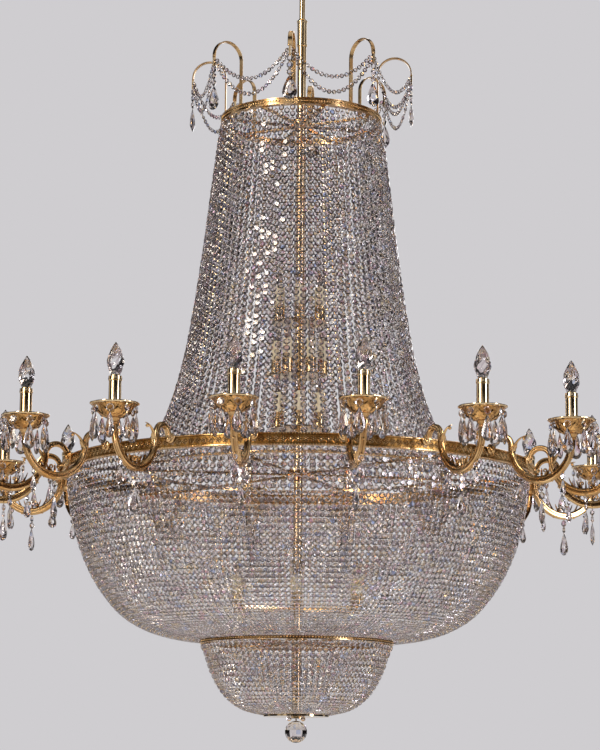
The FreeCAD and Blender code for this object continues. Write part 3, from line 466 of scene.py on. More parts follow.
edges = drawn_on(shape, edges, (0, 0, ARCH_LEVEL - hook_low.z))
arch_middle = (STEM_RADIUS + ARCH, 0, ARCH_LEVEL)
edges = swept(shape, edges, arch_middle, 180, 22)
edges = drawn_on(shape, edges, (0, 0, -4 * MM))
bmesh.ops.holes_fill(shape, edges=[e for e in shape.edges if e.is_boundary], sides=0)
knop = bmesh.new()
turned(knop, above(0, (0, 0), (7, 0), (8, 2), (5.5, 4), (7, 8), (6, 11), (4, 13), (0, 13)), 16,
       (STEM_RADIUS, 0, hook_low.z))
outward(knop)
joined(shape, knop)
joined(shape, blob((TIP_RADIUS, 0, ARCH_LEVEL - 2.4 * MM), (2.6 * MM, 5.4 * MM, 2 * MM), 12, 7))
outward(shape)
ring_of(shape, HOOK_COUNT, HOOK_TURN)
hooks = made("crown_arms", shape, cast_brass)
soften(hooks, 40)
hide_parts("crown_hooks")
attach(hooks, "root")

# Cut octagons: each crystal is pressed and polished with a flat table and eight slopes on both
# faces, and is pinned to the next one through holes near its edge with bent brass wire.

random.seed(7)
WIRE = 1.1 * MM
STRING_KINDS = 6
SWAY = 10


def move(shape, matrix):
    """Moves all of a shape by a matrix."""
    bmesh.ops.transform(shape, matrix=matrix, verts=shape.verts[:])


def octagon(width, height, thickness):
    """One cut octagon whose faces look along X, centred on the origin."""
    shape = bmesh.new()
    bmesh.ops.create_cone(shape, cap_ends=True, segments=8, radius1=1.0, radius2=0.62, depth=0.5,
                          matrix=Matrix.Translation((0, 0, 0.25))
                          @ Matrix.Rotation(math.pi / 8, 4, "Z"))
    girdle = [face for face in shape.faces if all(abs(vert.co.z) < 0.001 for vert in face.verts)]
    bmesh.ops.delete(shape, geom=girdle, context="FACES_ONLY")
    bmesh.ops.mirror(shape, geom=shape.verts[:] + shape.edges[:] + shape.faces[:], axis="Z",
                     merge_dist=0.0001)
    outward(shape)
    flat = 1 / math.cos(math.pi / 8)
    bmesh.ops.scale(shape, vec=(height / 2 * flat, width / 2 * flat, thickness),
                    verts=shape.verts[:])
    bmesh.ops.rotate(shape, verts=shape.verts[:], cent=(0, 0, 0),
                     matrix=Matrix.Rotation(math.pi / 2, 3, "Y"))
    return shape


def along(outline, distance):
    """The point at a distance along a row of points, and the direction there."""
    for start, end in zip(outline, outline[1:]):
        step = end - start
        if distance <= step.length or end is outline[-1]:
            return start + step.normalized() * distance, step.normalized()
        distance -= step.length


def length_of(outline):
    """The length of a row of points."""
    return sum((end - start).length for start, end in zip(outline, outline[1:]))


def rounded(points, steps):
    """A smooth row of points through a few given ones, as a wire bends."""
    padded = [points[0] * 2 - points[1]] + list(points) + [points[-1] * 2 - points[-2]]
    row = []
    for a, b, c, d in zip(padded, padded[1:], padded[2:], padded[3:]):
        for i in range(steps):
            t = i / steps
            row.append(0.5 * ((2 * b) + (c - a) * t + (2 * a - 5 * b + 4 * c - d) * t ** 2
                              + (3 * b - a - 3 * c + d) * t ** 3))
    row.append(points[-1])
    return row


def string_of_octagons(outline, size_at, start):
    """Octagons pinned in a row along an outline of points, with the wire pins between them.

    size_at gives (width, height) of a crystal at a distance from the axis, and start is where
    the first one hangs.
    """
    crystals = bmesh.new()
    pins = bmesh.new()
    whole = length_of(outline)
    here = start
    while True:
        width, height = size_at(along(outline, here)[0].x)
        pitch = height + WIRE
        if here + height > whole:
            break
        place, way = along(outline, here + pitch / 2)
        down = -way
        out = Vector((0, 1, 0)).cross(down).normalized()
        facing = Matrix((out, (0, 1, 0), down)).transposed().to_4x4()
        turn = Matrix.Rotation(math.radians(random.uniform(-SWAY, SWAY)), 4, "Z")
        lean = Matrix.Rotation(math.radians(random.uniform(-SWAY, SWAY) * 0.35), 4, "Y")
        bead = octagon(width, height, min(width, height) * 0.44)
        move(bead, Matrix.Translation(place) @ facing @ turn @ lean)
        joined(crystals, bead)
        pin_place, pin_way = along(outline, here)
        pin = bmesh.new()
        bmesh.ops.create_cone(pin, cap_ends=True, segments=5, radius1=WIRE * 0.6,
                              radius2=WIRE * 0.6, depth=height * 0.36)
        turned_way = (-pin_way).to_track_quat("Z", "Y").to_matrix().to_4x4()
        move(pin, Matrix.Translation(pin_place) @ turned_way)
        joined(pins, pin)
        here += pitch
    return crystals, pins


def hang_net(label, node, outline, strings, size_at, ends, stagger=0.0):
    """A curtain of strings round the vertical axis, six kinds in turn, wired with brass pins.

    Every other string starts lower by the stagger, so that its crystals lie between the next.
    ends are the endings of the names of the meshes that share the crystals.
    """
    meshes = [bmesh.new() for _ in ends]
    pins = bmesh.new()
    for kind in range(STRING_KINDS):
        crystals, wires = string_of_octagons(outline, size_at, stagger * (kind % 2))
        for shape in (crystals, wires):
            ring_of(shape, strings // STRING_KINDS, 360 / strings * kind)
        joined(meshes[kind % len(meshes)], crystals)
        joined(pins, wires)
    for end, shape in zip(ends, meshes):
        curtain = made(label + "_crystals" + end, shape, cut_crystal)
        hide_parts(node)
        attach(curtain, "root")
    net_pins = made(label + "_pins", pins, turned_brass)
    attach(net_pins, "root")


def ring_points(pairs):
    """Points of the plane y = 0 from (radius, level above the main ring) in millimetres."""
    return [Vector((radius * MM, 0, RING_LEVEL + level * MM)) for radius, level in pairs]


# Cone: strings of equal octagons that hang from the top ring and spread out over the hoop at
# the foot, pulled straight by their own weight and flaring as the wires are led outwards.

CONE_STRINGS = 90
CONE_FILL = 0.97
cone_line = rounded(ring_points(((180.5, 793), (193, 700), (208, 570), (226, 430), (250, 280),
                                 (276, 172), (306, 90), (340, 4))), 6)
CONE_BEAD = 14 * MM


def cone_size(radius):
    """Width and height of a crystal, no wider than its share of the way round."""
    return min(15 * MM, CONE_FILL * 2 * math.pi * radius / CONE_STRINGS), CONE_BEAD


hang_net("cone", "cone_strands", cone_line, CONE_STRINGS, cone_size, ("_a", "_b"),
         (CONE_BEAD + WIRE) / 2)

# Bowl: graduated octagons, smaller towards the junction ring, on wires that hang slack from the
# main ring. Each bar of the model underneath stands for two of these strings.

BOWL_STRINGS = 216
FILL = 0.94
bowl_line = rounded(ring_points(((510, -14), (506, -45), (498, -100), (477, -176), (445, -245),
                                 (398, -307), (350, -342), (290, -364), (214, -375))), 5)


def bowl_size(radius):
    """Width and height of a crystal that fills its share of the way round."""
    width = FILL * 2 * math.pi * radius / BOWL_STRINGS
    return width, max(width * 0.97, 7.4 * MM)


hang_net("bowl", "bowl_strands", bowl_line, BOWL_STRINGS, bowl_size, ("_a", "_b", "_c"))

# Lower bowl: shorter strings of octagons, graduated as in the bowl above and wired between the
# junction ring and the gilt disc.

LOWER_STRINGS = 90
lower_line = rounded(ring_points(((209, -383), (200, -405), (188, -440), (172, -472), (150, -500),
                                  (118, -522), (74, -534))), 5)


def lower_size(radius):
    """Width and height of a crystal, graduated as in the bowl above."""
    width = FILL * 2 * math.pi * radius / LOWER_STRINGS
    return width, max(width * 0.97, 8 * MM)


hang_net("lower", "lower_strands", lower_line, LOWER_STRINGS, lower_size, ("",))

# Hoops of the net: the foot of the cone, the junction ring with its row of pearls and the gilt
# disc under the lower bowl, where the ends of the strings are wired on.


def beaded_band(name, node, points, pearl, count):
    """A turned band, as band_section has its points, with a row of pearls round its middle."""
    low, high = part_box(node)
    shape = bmesh.new()
    turned(shape, band_section(high.x, low, high, *points), 128)
    outward(shape)
    row = blob((high.x - pearl * 0.75, 0, low.z + (high.z - low.z) / 2),
               (pearl * 0.7, pearl, pearl), rows=6)
    ring_of(row, count)
    joined(shape, row)
    band = made(name, shape, cast_brass)
    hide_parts(node)
    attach(band, "root")


beaded_band("cone_foot_band", "cone_base_ring",
            ((-8, 0, 0), (-1, 0, 0), (-0.2, 3, 0), (-1, 0, 1), (-8, 0, 1), (-8, 0, 0)),
            1.6 * MM, 240)
beaded_band("junction_band", "junction_ring",
            ((-7.8, 0, 0), (-0.2, 0, 0), (-0.2, 1.2, 0), (-1.8, 2, 0), (-1.8, -2, 1),
             (-0.2, -1.2, 1), (-0.2, 0, 1), (-7.8, 0, 1), (-7.8, 0, 0)), 2.2 * MM, 200)
finish_node("bottom_disc", turned_brass)
finish_node("finial_cap", turned_brass)

# Swags: two garlands of small octagons, wired one to the next, droop between each pair of crown
# arms, one deeper than the other.

SWAG_OUT = 231 * MM
SWAG_HALF = 91.7 * MM
SWAG_PITCH = 11.5 * MM
SWAG_TWIST = 16
crystals = bmesh.new()
pins = bmesh.new()
for end_level, sag in ((900, 56), (890, 81)):
    points = [Vector((0, SWAG_HALF * t, RING_LEVEL + (end_level - sag * (1 - t * t)) * MM))
              for t in (-1, -0.75, -0.5, -0.25, 0, 0.25, 0.5, 0.75, 1)]
    row = rounded(points, 4)
    whole = length_of(row)
    count = int(whole / SWAG_PITCH)
    for place in range(count):
        middle, way = along(row, whole * (place + 0.5) / count)
        facing = Matrix(((1, 0, 0), way.cross(Vector((1, 0, 0))), way)).transposed().to_4x4()
        bead = octagon(10 * MM, 10.4 * MM, 4.6 * MM)
        twist = math.radians(random.uniform(-SWAG_TWIST, SWAG_TWIST))
        move(bead, Matrix.Translation(middle) @ facing @ Matrix.Rotation(twist, 4, "Z"))
        joined(crystals, bead)
        joined(pins, blob(along(row, whole * place / count)[0],
                          (0.9 * MM, 1.4 * MM, 0.9 * MM), sides=5, rows=3))
for shape in (crystals, pins):
    shift(shape, (SWAG_OUT, 0, 0))
    ring_of(shape, HOOK_COUNT, HOOK_TURN + 180 / HOOK_COUNT)
swags = made("crown_garlands", crystals, cut_crystal)
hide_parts("crown_swags")
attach(swags, "root")
swag_pins = made("garland_pins", pins, turned_brass)
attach(swag_pins, "root")

# Almond drops: pear-shaped crystals with a raised middle, pressed and then cut in rows of slopes
# on both faces. Each is pinned under an octagon with brass wire.


def almond(width, height, thickness):
    """An almond crystal whose faces look along X, hung by its top at the origin."""
    shape = bmesh.new()
    outline = ((0.0, 0.0), (0.09, 0.05), (0.24, 0.2), (0.38, 0.4), (0.47, 0.58), (0.5, 0.7),
               (0.47, 0.81), (0.36, 0.91), (0.2, 0.975), (0.0, 1.0))
    rim = [(across, -down) for across, down in outline]
    rim += [(-across, -down) for across, down in reversed(outline[1:-1])]
    rims = [shape.verts.new((0, across * width, down * height)) for across, down in rim]
    centre = -0.62
    for face in (1, -1):
        inner = [shape.verts.new((face * thickness * 0.36, across * 0.62 * width,
                                  (centre + (down - centre) * 0.66) * height))
                 for across, down in rim]
        table = [shape.verts.new((face * thickness * 0.5, inner[place].co.y * 0.5,
                                  (centre * height) + (inner[place].co.z - centre * height) * 0.5))
                 for place in range(0, len(inner), 2)]
        count = len(rims)
        for place in range(count):
            beyond = (place + 1) % count
            shape.faces.new((rims[place], rims[beyond], inner[beyond], inner[place]))
        for place in range(0, count, 2):
            here = table[place // 2]
            beyond = table[(place // 2 + 1) % len(table)]
            shape.faces.new((inner[place], inner[(place + 1) % count], here))
            shape.faces.new((inner[(place + 1) % count], inner[(place + 2) % count], beyond, here))
        shape.faces.new(table)
    outward(shape)
    return shape


OCTAGON_TURN = 0.35


def drop_string(pieces, swing):
    """Octagons and almonds pinned one under the other from the origin, with their pins.

    pieces are (kind, width, height, thickness), and each almond hangs turned by up to swing
    degrees, the octagons by less; the crystals and the pins are given apart.
    """
    crystals = bmesh.new()
    pins = bmesh.new()
    level = 0.0
    for kind, width, height, thickness in pieces:
        if kind == "almond":
            bead = almond(width, height, thickness)
        else:
            bead = octagon(width, height, thickness)
            shift(bead, (0, 0, -height / 2))
        turn = random.uniform(-swing, swing) * (1.0 if kind == "almond" else OCTAGON_TURN)
        bmesh.ops.rotate(bead, verts=bead.verts[:], cent=(0, 0, 0),
                         matrix=Matrix.Rotation(math.radians(turn), 3, "Z"))
        shift(bead, (0, 0, level))
        joined(crystals, bead)
        pin = bmesh.new()
        bmesh.ops.create_cone(pin, cap_ends=True, segments=6, radius1=0.7 * MM, radius2=0.7 * MM,
                              depth=5 * MM, matrix=Matrix.Translation((0, 0, level)))
        joined(pins, pin)
        level -= height + 0.4 * MM
    return crystals, pins


# Crown drops: each crown arm carries a string of three octagons and a large almond, free to
# swing from its link.


def hang_string(node, label, radius, slack, pieces, swing):
    """Hangs a string of crystals and its pins where a swinging CAD node is, below its top."""
    low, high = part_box(node)
    middle = (low + high) / 2
    turn = math.atan2(middle.y, middle.x)
    place = Vector((radius * math.cos(turn), radius * math.sin(turn), high.z - slack))
    hung = Matrix.Translation(place) @ Matrix.Rotation(turn, 4, "Z")
    crystals, pins = drop_string(pieces, swing)
    for shape in (crystals, pins):
        move(shape, hung)
    string = made(label % "crystals", crystals, cut_crystal)
    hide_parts(node)
    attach(string, node)
    string_pins = made(label % "pins", pins, turned_brass)
    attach(string_pins, node)


CROWN_OCTAGON = ("octagon", 14 * MM, 15 * MM, 6.4 * MM)
CROWN_ALMOND = ("almond", 33 * MM, 54 * MM, 9.6 * MM)
for place in range(1, HOOK_COUNT + 1):
    hang_string("crown_drop_%d" % place, "crown_%%s_%d" % place, TIP_RADIUS, 0,
                (CROWN_OCTAGON, CROWN_OCTAGON, CROWN_OCTAGON, CROWN_ALMOND), 9)

# Main ring: a cast band with pearled edges, a lattice of small rosettes on its browned face and
# a ledge inside, where the main spider carries it.

EDGE_PEARLS = 540
ROSETTES = 216
PETAL = 3.9 * MM
PETALS = 6
main_low, main_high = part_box("main_ring")
MAIN_OUT = main_high.x - 2.6 * MM
main_middle = (main_low.z + main_high.z) / 2
shape = bmesh.new()
turned(shape, band_section(MAIN_OUT, main_low, main_high, (-13, 0, 0), (0, 0, 0), (1.6, 1, 0),
                           (1.6, 3, 0), (-1.6, 4.2, 0), (-1.6, -4.2, 1), (1.6, -3, 1),
                           (1.6, -1, 1), (0, 0, 1), (-3, 0, 1), (-3, 4, 0), (-13, 4, 0),
                           (-13, 0, 0)), 216)
outward(shape)
for face in shape.faces:
    middle = face.calc_center_median()
    out = math.hypot(middle.x, middle.y)
    if abs(middle.z - main_middle) < 5 * MM and out > MAIN_OUT - 2.6 * MM:
        face.material_index = 1
for level in (main_low.z + 2 * MM, main_high.z - 2 * MM):
    row = blob((MAIN_OUT + 0.9 * MM, 0, level), (1.3 * MM, 1.7 * MM, 1.6 * MM), sides=6, rows=4)
    ring_of(row, EDGE_PEARLS)
    joined(shape, row)
rosette = blob((MAIN_OUT - 0.4 * MM, 0, main_middle), (1.9 * MM, 1.9 * MM, 1.9 * MM))
for petal in range(PETALS):
    lean = math.radians(30 + 360 / PETALS * petal)
    place = (MAIN_OUT - 1.1 * MM, PETAL * math.cos(lean), main_middle + PETAL * math.sin(lean))
    joined(rosette, blob(place, (1.7 * MM, 1.75 * MM, 1.75 * MM), sides=6, rows=4))
ring_of(rosette, ROSETTES)
joined(shape, rosette)
cross = bmesh.new()
for lean in (38, -38):
    bmesh.ops.create_cone(cross, cap_ends=True, segments=4, radius1=0.8 * MM, radius2=0.8 * MM,
                          depth=18 * MM,
                          matrix=Matrix.Translation((MAIN_OUT - 1.2 * MM, 0, main_middle))
                          @ Matrix.Rotation(math.radians(lean), 4, "X"))
ring_of(cross, ROSETTES, 180 / ROSETTES)
joined(shape, cross)
main_ring = made("main_ring_band", shape, cast_brass, patina_brass)
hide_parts("main_ring")
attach(main_ring, "root")

# Scroll arms: cast C-scrolls with reeded sides. A small arch springs from the ring and turns
# down into a large U, whose outer leg carries the drip pan. A leaf with a horn curls off the
# inner leg, and a spray of leaves fills the bottom of the U. A nut holds each arm.

ARM_COUNT = 18
ARM_TURN = 10 - 90
ARM_LEVEL = RING_LEVEL + 8 * MM
FOOT_FROM = main_high.x
ARCH_MIDDLE = 552.5 * MM
ARCH_RADIUS = 23.5 * MM
SCROLL_MIDDLE = 651 * MM
SCROLL_RADIUS = 75 * MM


def reeded(depth, width):
    """A closed section of a scroll arm: (outwards in its plane, across it), with nested reeds."""
    d, w = depth / 2, width / 2
    half = [(deep * d, wide * w) for deep, wide in (
        (0.8, 0.08), (1, 0.24), (1, 0.36), (0.82, 0.46), (0.84, 0.66), (0.6, 0.74), (0.5, 1),
        (0.2, 1), (0.08, 0.7), (-0.08, 0.7), (-0.2, 1), (-0.5, 1), (-0.6, 0.74), (-0.84, 0.66),
        (-0.82, 0.46), (-1, 0.36), (-1, 0.24), (-0.8, 0.08))]
    return half + [(out, -across) for out, across in reversed(half)]


def sweep(shape, rows):
    """Skins rows of points of the same number, with both ends capped."""
    verts = [[shape.verts.new(point) for point in row] for row in rows]
    count = len(verts[0])
    for upper, lower in zip(verts, verts[1:]):
        for place in range(count):
            beyond = (place + 1) % count
            shape.faces.new((upper[place], upper[beyond], lower[beyond], lower[place]))
    shape.faces.new(verts[0])
    shape.faces.new(list(reversed(verts[-1])))


def arc_rows(middle, radius, start, end, steps, section_at):
    """Sections round an arc of the plane y = 0; section_at gives each from its share."""
    rows = []
    for step in range(steps + 1):
        share = step / steps
        angle = math.radians(start + (end - start) * share)
        out = Vector((math.cos(angle), 0, math.sin(angle)))
        rows.append([Vector(middle) + out * (radius + away) + Vector((0, across, 0))
                     for away, across in section_at(share)])
    return rows


def oval(size):
    """The section of a cast tendril, a fifth wider than it is deep."""
    return [(size * math.cos(math.pi * side / 4), size * 1.2 * math.sin(math.pi * side / 4))
            for side in range(8)]


def curl(shape, middle, start_radius, start, turns, start_size, end_size):
    """A tapering tendril wound into a spiral in the plane y = 0."""
    rows = []
    steps = 26
    for step in range(steps + 1):
        share = step / steps
        angle = math.radians(start + 360 * turns * share)
        radius = start_radius * (1 - 0.82 * share)
        thick = start_size + (end_size - start_size) * share
        out = Vector((math.cos(angle), 0, math.sin(angle)))
        rows.append([Vector(middle) + out * (radius + away) + Vector((0, across, 0))
                     for away, across in oval(thick)])
    sweep(shape, rows)


LEAF_LOBES = 3
LEAF_SECTION = ((0.2, 1), (1, 0.25), (1.3, 0), (1, -0.25), (0.2, -1), (-0.8, -0.5), (-0.8, 0.5))


def leaf(shape, root, tip_way, length, width, bend, thick=2.2 * MM):
    """A pointed lobe in the plane y = 0 that bends to one side, ridged down its middle."""
    root = Vector(root)
    way = Vector(tip_way).normalized()
    aside = Vector((way.z, 0, -way.x))
    rows = []
    steps = 12
    for step in range(steps + 1):
        share = step / steps
        middle = root + way * length * share + aside * bend * share * share
        swell = math.sin(math.pi * min(1.0, 0.12 + share * 0.88)) ** 0.7
        scallop = 1 + 0.16 * math.sin(2 * math.pi * LEAF_LOBES * share)
        half = max(0.4 * MM, width / 2 * swell * scallop)
        slim = max(0.35 * MM, thick * (1 - 0.7 * share))
        rows.append([middle + aside * along_it * slim + Vector((0, across * half, 0))
                     for along_it, across in LEAF_SECTION])
    sweep(shape, rows)


INNER_LEG = SCROLL_MIDDLE - SCROLL_RADIUS
OUTER_LEG = SCROLL_MIDDLE + SCROLL_RADIUS
arm = bmesh.new()
joined(arm, blob((FOOT_FROM + 1.5 * MM, 0, ARM_LEVEL), (5 * MM, 10.5 * MM, 10.5 * MM), 16, 9))
joined(arm, blob((FOOT_FROM + 5 * MM, 0, ARM_LEVEL), (4 * MM, 7 * MM, 7 * MM), 12, 7))
sweep(arm, arc_rows((ARCH_MIDDLE, 0, ARM_LEVEL), ARCH_RADIUS, 180, 0, 18,
                    lambda share: reeded((11 + 2 * share) * MM, 11.5 * MM)))
sweep(arm, arc_rows((SCROLL_MIDDLE, 0, ARM_LEVEL), SCROLL_RADIUS, 180, 360, 40,
                    lambda share: reeded((13 + 3.5 * math.sin(math.pi * share)) * MM, 12.6 * MM)))
socket = bmesh.new()
turned(socket, above(RING_LEVEL, (0, 9), (7, 9), (9.5, 11), (8, 13), (8.6, 15), (11.5, 18.5),
                     (13, 20.8), (0, 20.8)), 16, (OUTER_LEG, 0, 0))
joined(arm, socket)
sweep(arm, [[Vector((OUTER_LEG + away, across, level))
             for away, across in reeded(13 * MM, 12.6 * MM)]
            for level in (ARM_LEVEL, RING_LEVEL + 20 * MM)])
joined(arm, blob((ARCH_MIDDLE - ARCH_RADIUS, 0, ARM_LEVEL - 3 * MM),
                 (5.5 * MM, 6 * MM, 6 * MM), 12, 7))
leaf(arm, (INNER_LEG + 2 * MM, 0, ARM_LEVEL - 20 * MM), (0.3, 0, 1), 27 * MM, 13 * MM, 5 * MM)
sweep(arm, arc_rows((SCROLL_MIDDLE - 35 * MM, 0, ARM_LEVEL - 16 * MM), 36 * MM, 192, 92, 16,
                    lambda share: oval((4.6 - 3.8 * share) * MM)))
joined(arm, blob((SCROLL_MIDDLE - 43 * MM, 0, ARM_LEVEL + 14.5 * MM),
                 (3.6 * MM, 4 * MM, 3.6 * MM), 10, 7))
for side in (-1, 1):
    for out, below, way, width in ((10, 70, (side * 0.75, 0, 0.9), 8),
                                   (26, 64, (side * 1, 0, 1.25), 7)):
        leaf(arm, (SCROLL_MIDDLE + side * out * MM, 0, ARM_LEVEL - below * MM), way, 24 * MM,
             width * MM, side * -5 * MM)
    curl(arm, (SCROLL_MIDDLE + side * 8 * MM, 0, ARM_LEVEL - 57 * MM), 6 * MM, -90, side * 1.1,
         2.2 * MM, 1.2 * MM)
leaf(arm, (SCROLL_MIDDLE, 0, ARM_LEVEL - 70 * MM), (0, 0, 1), 20 * MM, 8 * MM, 0)
reach = SCROLL_RADIUS + 8 * MM
for turn in (-64, -40, -18, 18, 40, 64):
    angle = math.radians(turn - 90)
    joined(arm, blob((SCROLL_MIDDLE + reach * math.cos(angle), 0,
                      ARM_LEVEL + reach * math.sin(angle)), (2 * MM, 3.4 * MM, 2 * MM)))
joined(arm, blob((SCROLL_MIDDLE, 0, ARM_LEVEL - SCROLL_RADIUS - 5.6 * MM),
                 (4.5 * MM, 5.5 * MM, 2.6 * MM), 12, 7))
outward(arm)
ring_of(arm, ARM_COUNT, ARM_TURN)
arms = made("scroll_arms", arm, cast_brass)
soften(arms, 50)
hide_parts("candle_arms")
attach(arms, "root")
finish_node("arm_nuts", zinc)

# Drip pans: spun eight-lobed dishes, punched all over, with a polished rim and cast petals
# underneath. Each stands on the outer leg of its arm.

PAN_AXIS = 726 * MM
PAN_LEVEL = RING_LEVEL + 21 * MM
PAN_LOBES = 8


def lobed(outline, lobes, depth):
    """A turned skin with a scalloped edge, of rows of (radius, level, share of the scallop)."""
    shape = bmesh.new()
    rows = []
    steps = 64
    for radius, level, share in outline:
        row = []
        for step in range(steps):
            angle = 2 * math.pi * step / steps
            wave = abs(math.cos(lobes * angle / 2)) ** 0.7
            here = radius * (1 - depth * share * (1 - wave))
            row.append(Vector((here * math.cos(angle), here * math.sin(angle), level)))
        rows.append(row)
    sweep(shape, rows)
    outward(shape)
    return shape


dish = lobed([(radius * MM, PAN_LEVEL + height * MM, share) for radius, height, share in (
    (9, 0, 0), (14, 0.2, 0.2), (20, 2.5, 0.6), (28, 7, 1), (33.5, 12, 1), (37, 18, 1),
    (41, 23.5, 0.6), (45, 26.2, 0.35), (47.6, 26.7, 0.3), (49.4, 27.4, 0.3), (50, 28.8, 0.3),
    (49.4, 30.1, 0.3), (47.6, 30.4, 0.3), (44, 28.2, 0.35), (39, 24.6, 0.5), (34, 18, 1),
    (30, 12, 1), (24, 8, 0.7), (12, 5, 0), (6, 4.6, 0))], PAN_LOBES, 0.1)
for place in range(PAN_LOBES):
    petal = bmesh.new()
    leaf(petal, (17 * MM, 0, PAN_LEVEL + 1.6 * MM), (1, 0, 0.42), 27 * MM, 15 * MM, -5 * MM,
         thick=1.5 * MM)
    move(petal, Matrix.Rotation(2 * math.pi * place / PAN_LOBES, 4, "Z"))
    joined(dish, petal)
outward(dish)
for face in dish.faces:
    middle = face.calc_center_median()
    if middle.z > PAN_LEVEL + 26 * MM and math.hypot(middle.x, middle.y) > 44 * MM:
        face.material_index = 1
shift(dish, (PAN_AXIS, 0, 0))
ring_of(dish, ARM_COUNT, ARM_TURN)
pans = made("drip_dishes", dish, chased_brass, turned_brass)
soften(pans, 50)
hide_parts("drip_pans")
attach(pans, "root")

# Candles: a brass tube with a turned foot and a rolled mouth, a round metal cap and a clear
# glass bulb blown and twisted into a flame.

tube = bmesh.new()
turned(tube, above(PAN_LEVEL, (0, 2.6), (17, 2.6), (19, 4.4), (16.5, 6.4), (17.6, 8.6), (14, 11),
                   (12.9, 15), (12.6, 74), (13.9, 76), (13.9, 79), (13.4, 81.5), (13.4, 83.8),
                   (10, 83.8), (9, 82), (0, 82)), 28, (PAN_AXIS, 0, 0))
outward(tube)
ring_of(tube, ARM_COUNT, ARM_TURN)
tubes = made("candle_sleeves", tube, turned_brass)
soften(tubes, 32)
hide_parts("candle_tubes")
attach(tubes, "root")
cap = bmesh.new()
turned(cap, above(PAN_LEVEL, (0, 84), (9.6, 84), (9.6, 85), (8.6, 86.8), (0, 86.8)), 24,
       (PAN_AXIS, 0, 0))
outward(cap)
ring_of(cap, ARM_COUNT, ARM_TURN)
caps = made("bulb_caps", cap, turned_brass)
soften(caps, 32)
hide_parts("lamp_caps")
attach(caps, "root")


def flame_bulb(radius, base, height):
    """A blown bulb drawn up to a point and twisted, standing on the vertical axis."""
    shape = bmesh.new()
    steps, twist, ridges = 40, 150, 6
    profile = ((0.0, 0.56), (0.07, 0.68), (0.16, 0.83), (0.27, 0.96), (0.38, 1.0), (0.5, 0.95),
               (0.62, 0.83), (0.74, 0.64), (0.85, 0.42), (0.93, 0.24), (1.0, 0.03))
    line = rounded([Vector((share, 0, wide)) for share, wide in profile], 2)
    skin = []
    for point in line:
        turn = math.radians(twist * point.x)
        depth = 0.085 * math.sin(math.pi * min(1, point.x * 1.02))
        row = []
        for step in range(steps):
            angle = 2 * math.pi * step / steps
            here = radius * point.z * (1 + depth * math.cos(ridges * angle))
            row.append(Vector((here * math.cos(angle + turn), here * math.sin(angle + turn),
                               base + height * point.x)))
        skin.append(row)
    sweep(shape, skin)
    outward(shape)
    return shape


bulb = flame_bulb(16.4 * MM, PAN_LEVEL + 86 * MM, 66.5 * MM)
shift(bulb, (PAN_AXIS, 0, 0))
ring_of(bulb, ARM_COUNT, ARM_TURN)
bulbs = made("flame_bulbs", bulb, cut_crystal)
soften(bulbs, 60)
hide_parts("candle_bulbs")
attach(bulbs, "root")

# Drops on the pans: octagons with an almond beneath hang from eight points of each rim, and two
# pendants hang beside each arm's lowest point.

DROPS = 8
DROP_CIRCLE = 44 * MM
DROP_LEVEL = RING_LEVEL + 43.6 * MM
PENDANT_OUT = 52 * MM
PENDANT_LEVEL = RING_LEVEL - 57 * MM
crystals = bmesh.new()
pins = bmesh.new()
for place in range(DROPS):
    some, wires = drop_string((("octagon", 14.5 * MM, 15 * MM, 6.4 * MM),
                               ("almond", 23.5 * MM, 53 * MM, 9.6 * MM)), 42)
    turn = 2 * math.pi * (place + 0.5) / DROPS
    point = (PAN_AXIS + DROP_CIRCLE * math.cos(turn), DROP_CIRCLE * math.sin(turn), DROP_LEVEL)
    for shape, into in ((some, crystals), (wires, pins)):
        move(shape, Matrix.Translation(point) @ Matrix.Rotation(turn, 4, "Z"))
        joined(into, shape)
for side in (-1, 1):
    some, wires = drop_string((("octagon", 12 * MM, 12 * MM, 6 * MM),
                               ("almond", 20 * MM, 37 * MM, 9 * MM)), 90)
    for shape, into in ((some, crystals), (wires, pins)):
        shift(shape, (SCROLL_MIDDLE + side * PENDANT_OUT, 0, PENDANT_LEVEL))
        joined(into, shape)
halves = [crystals.copy(), crystals]
for place, shape in enumerate(halves):
    ring_of(shape, ARM_COUNT // 2, ARM_TURN + 360 / ARM_COUNT * place)
    item = made("pan_drops_" + "ab"[place], shape, cut_crystal)
    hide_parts("arm_drops")
    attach(item, "root")
ring_of(pins, ARM_COUNT, ARM_TURN)
drop_pins = made("pan_drop_pins", pins, turned_brass)
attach(drop_pins, "root")

# Arm strings: from each arm's lowest point hangs a loose string of two octagons and an almond
# that swings on its hook.

STRING_OCTAGON = ("octagon", 14 * MM, 14.6 * MM, 6.4 * MM)
STRING_ALMOND = ("almond", 23.5 * MM, 51 * MM, 9.6 * MM)
SLACK = 1.6 * MM
for place in range(1, ARM_COUNT + 1):
    hang_string("arm_string_%02d" % place, "string_%%s_%02d" % place, SCROLL_MIDDLE, SLACK,
                (STRING_OCTAGON, STRING_OCTAGON, STRING_ALMOND), 90)

# Foot of the chandelier: a large ball cut with rows of square faces, hung from its link, and two
# small octagons wired beside the disc's cap, at the front.

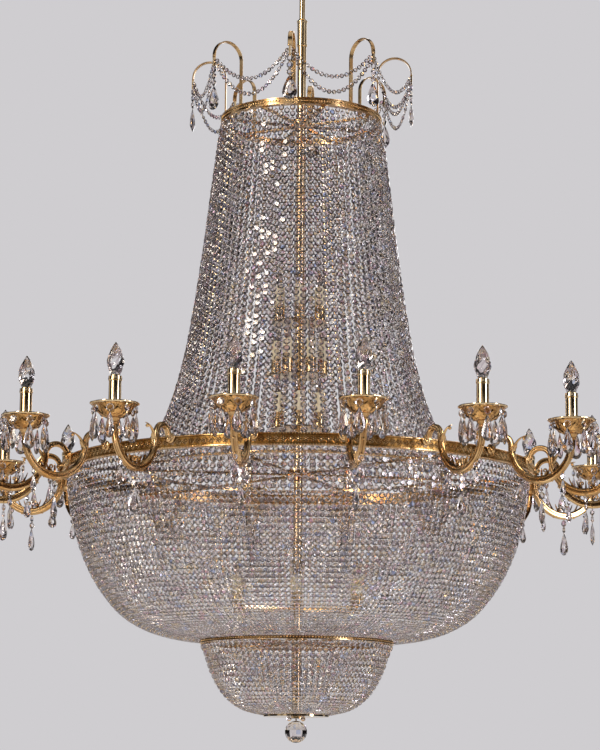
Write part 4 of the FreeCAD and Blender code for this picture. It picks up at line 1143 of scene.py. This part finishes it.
finish_node("ball_link", turned_brass)
ball_low, ball_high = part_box("crystal_ball")
BALL_RADIUS = (ball_high.x - ball_low.x) / 2 * 1.01
ball = bmesh.new()
bmesh.ops.create_uvsphere(ball, u_segments=12, v_segments=9, radius=BALL_RADIUS)
shift(ball, (0, 0, (ball_low.z + ball_high.z) / 2))
foot_ball = made("faceted_ball", ball, cut_crystal)
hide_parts("crystal_ball")
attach(foot_ball, "ball")
pair = bmesh.new()
for side in (-1, 1):
    bead = octagon(11 * MM, 11 * MM, 5 * MM)
    move(bead, Matrix.Translation((side * 15 * MM, -21 * MM, RING_LEVEL - 542.5 * MM))
         @ Matrix.Rotation(math.radians(-90 + side * 18), 4, "Z"))
    joined(pair, bead)
octagons = made("foot_octagons", pair, cut_crystal)
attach(octagons, "root")

# Lights inside the net: ivory card sleeves in gilt cups, with small bulbs, on plates round the
# column and on arms in the bowl. Through the crystals they show as pale and gold uprights.

finish_node("lamp_carriers", turned_brass)
finish_node("inner_sleeves", material("ivory_card_sleeve", Base_Color=linear("#FFF3D6"),
                                      Roughness=0.55)[0])
finish_node("inner_bulbs", cut_crystal)


def islands(name):
    """The lowest and highest corner of each separate solid of a CAD node."""
    shape = bmesh.new()
    shape.from_mesh(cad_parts[name].data)
    bmesh.ops.remove_doubles(shape, verts=shape.verts[:], dist=MERGE)
    left = set(shape.verts)
    boxes = []
    while left:
        front = [left.pop()]
        points = []
        while front:
            vert = front.pop()
            points.append(vert.co.copy())
            near = {edge.other_vert(vert) for edge in vert.link_edges} & left
            left -= near
            front.extend(near)
        boxes.append([Vector([end(point[axis] for point in points) for axis in range(3)])
                      for end in (min, max)])
    shape.free()
    return sorted(boxes, key=lambda box: (box[0].z, box[0].x, box[0].y))


CUP_SHARE = 0.42
cups = bmesh.new()
for cup_low, cup_high in islands("inner_sleeves"):
    reach = (cup_high.x - cup_low.x) / 2
    rise = (cup_high.z - cup_low.z) * CUP_SHARE
    turned(cups, [(reach + 0.2 * MM, 0), (reach + 2.4 * MM, 0), (reach + 2.4 * MM, 2 * MM),
                  (reach + 0.9 * MM, 4 * MM), (reach + 0.9 * MM, rise - 2 * MM),
                  (reach + 1.8 * MM, rise), (reach + 0.2 * MM, rise), (reach + 0.2 * MM, 0)], 16,
           ((cup_low.x + cup_high.x) / 2, (cup_low.y + cup_high.y) / 2, cup_low.z))
outward(cups)
lamp_cups = made("inner_lamp_cups", cups, turned_brass)
soften(lamp_cups, 32)
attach(lamp_cups, "root")
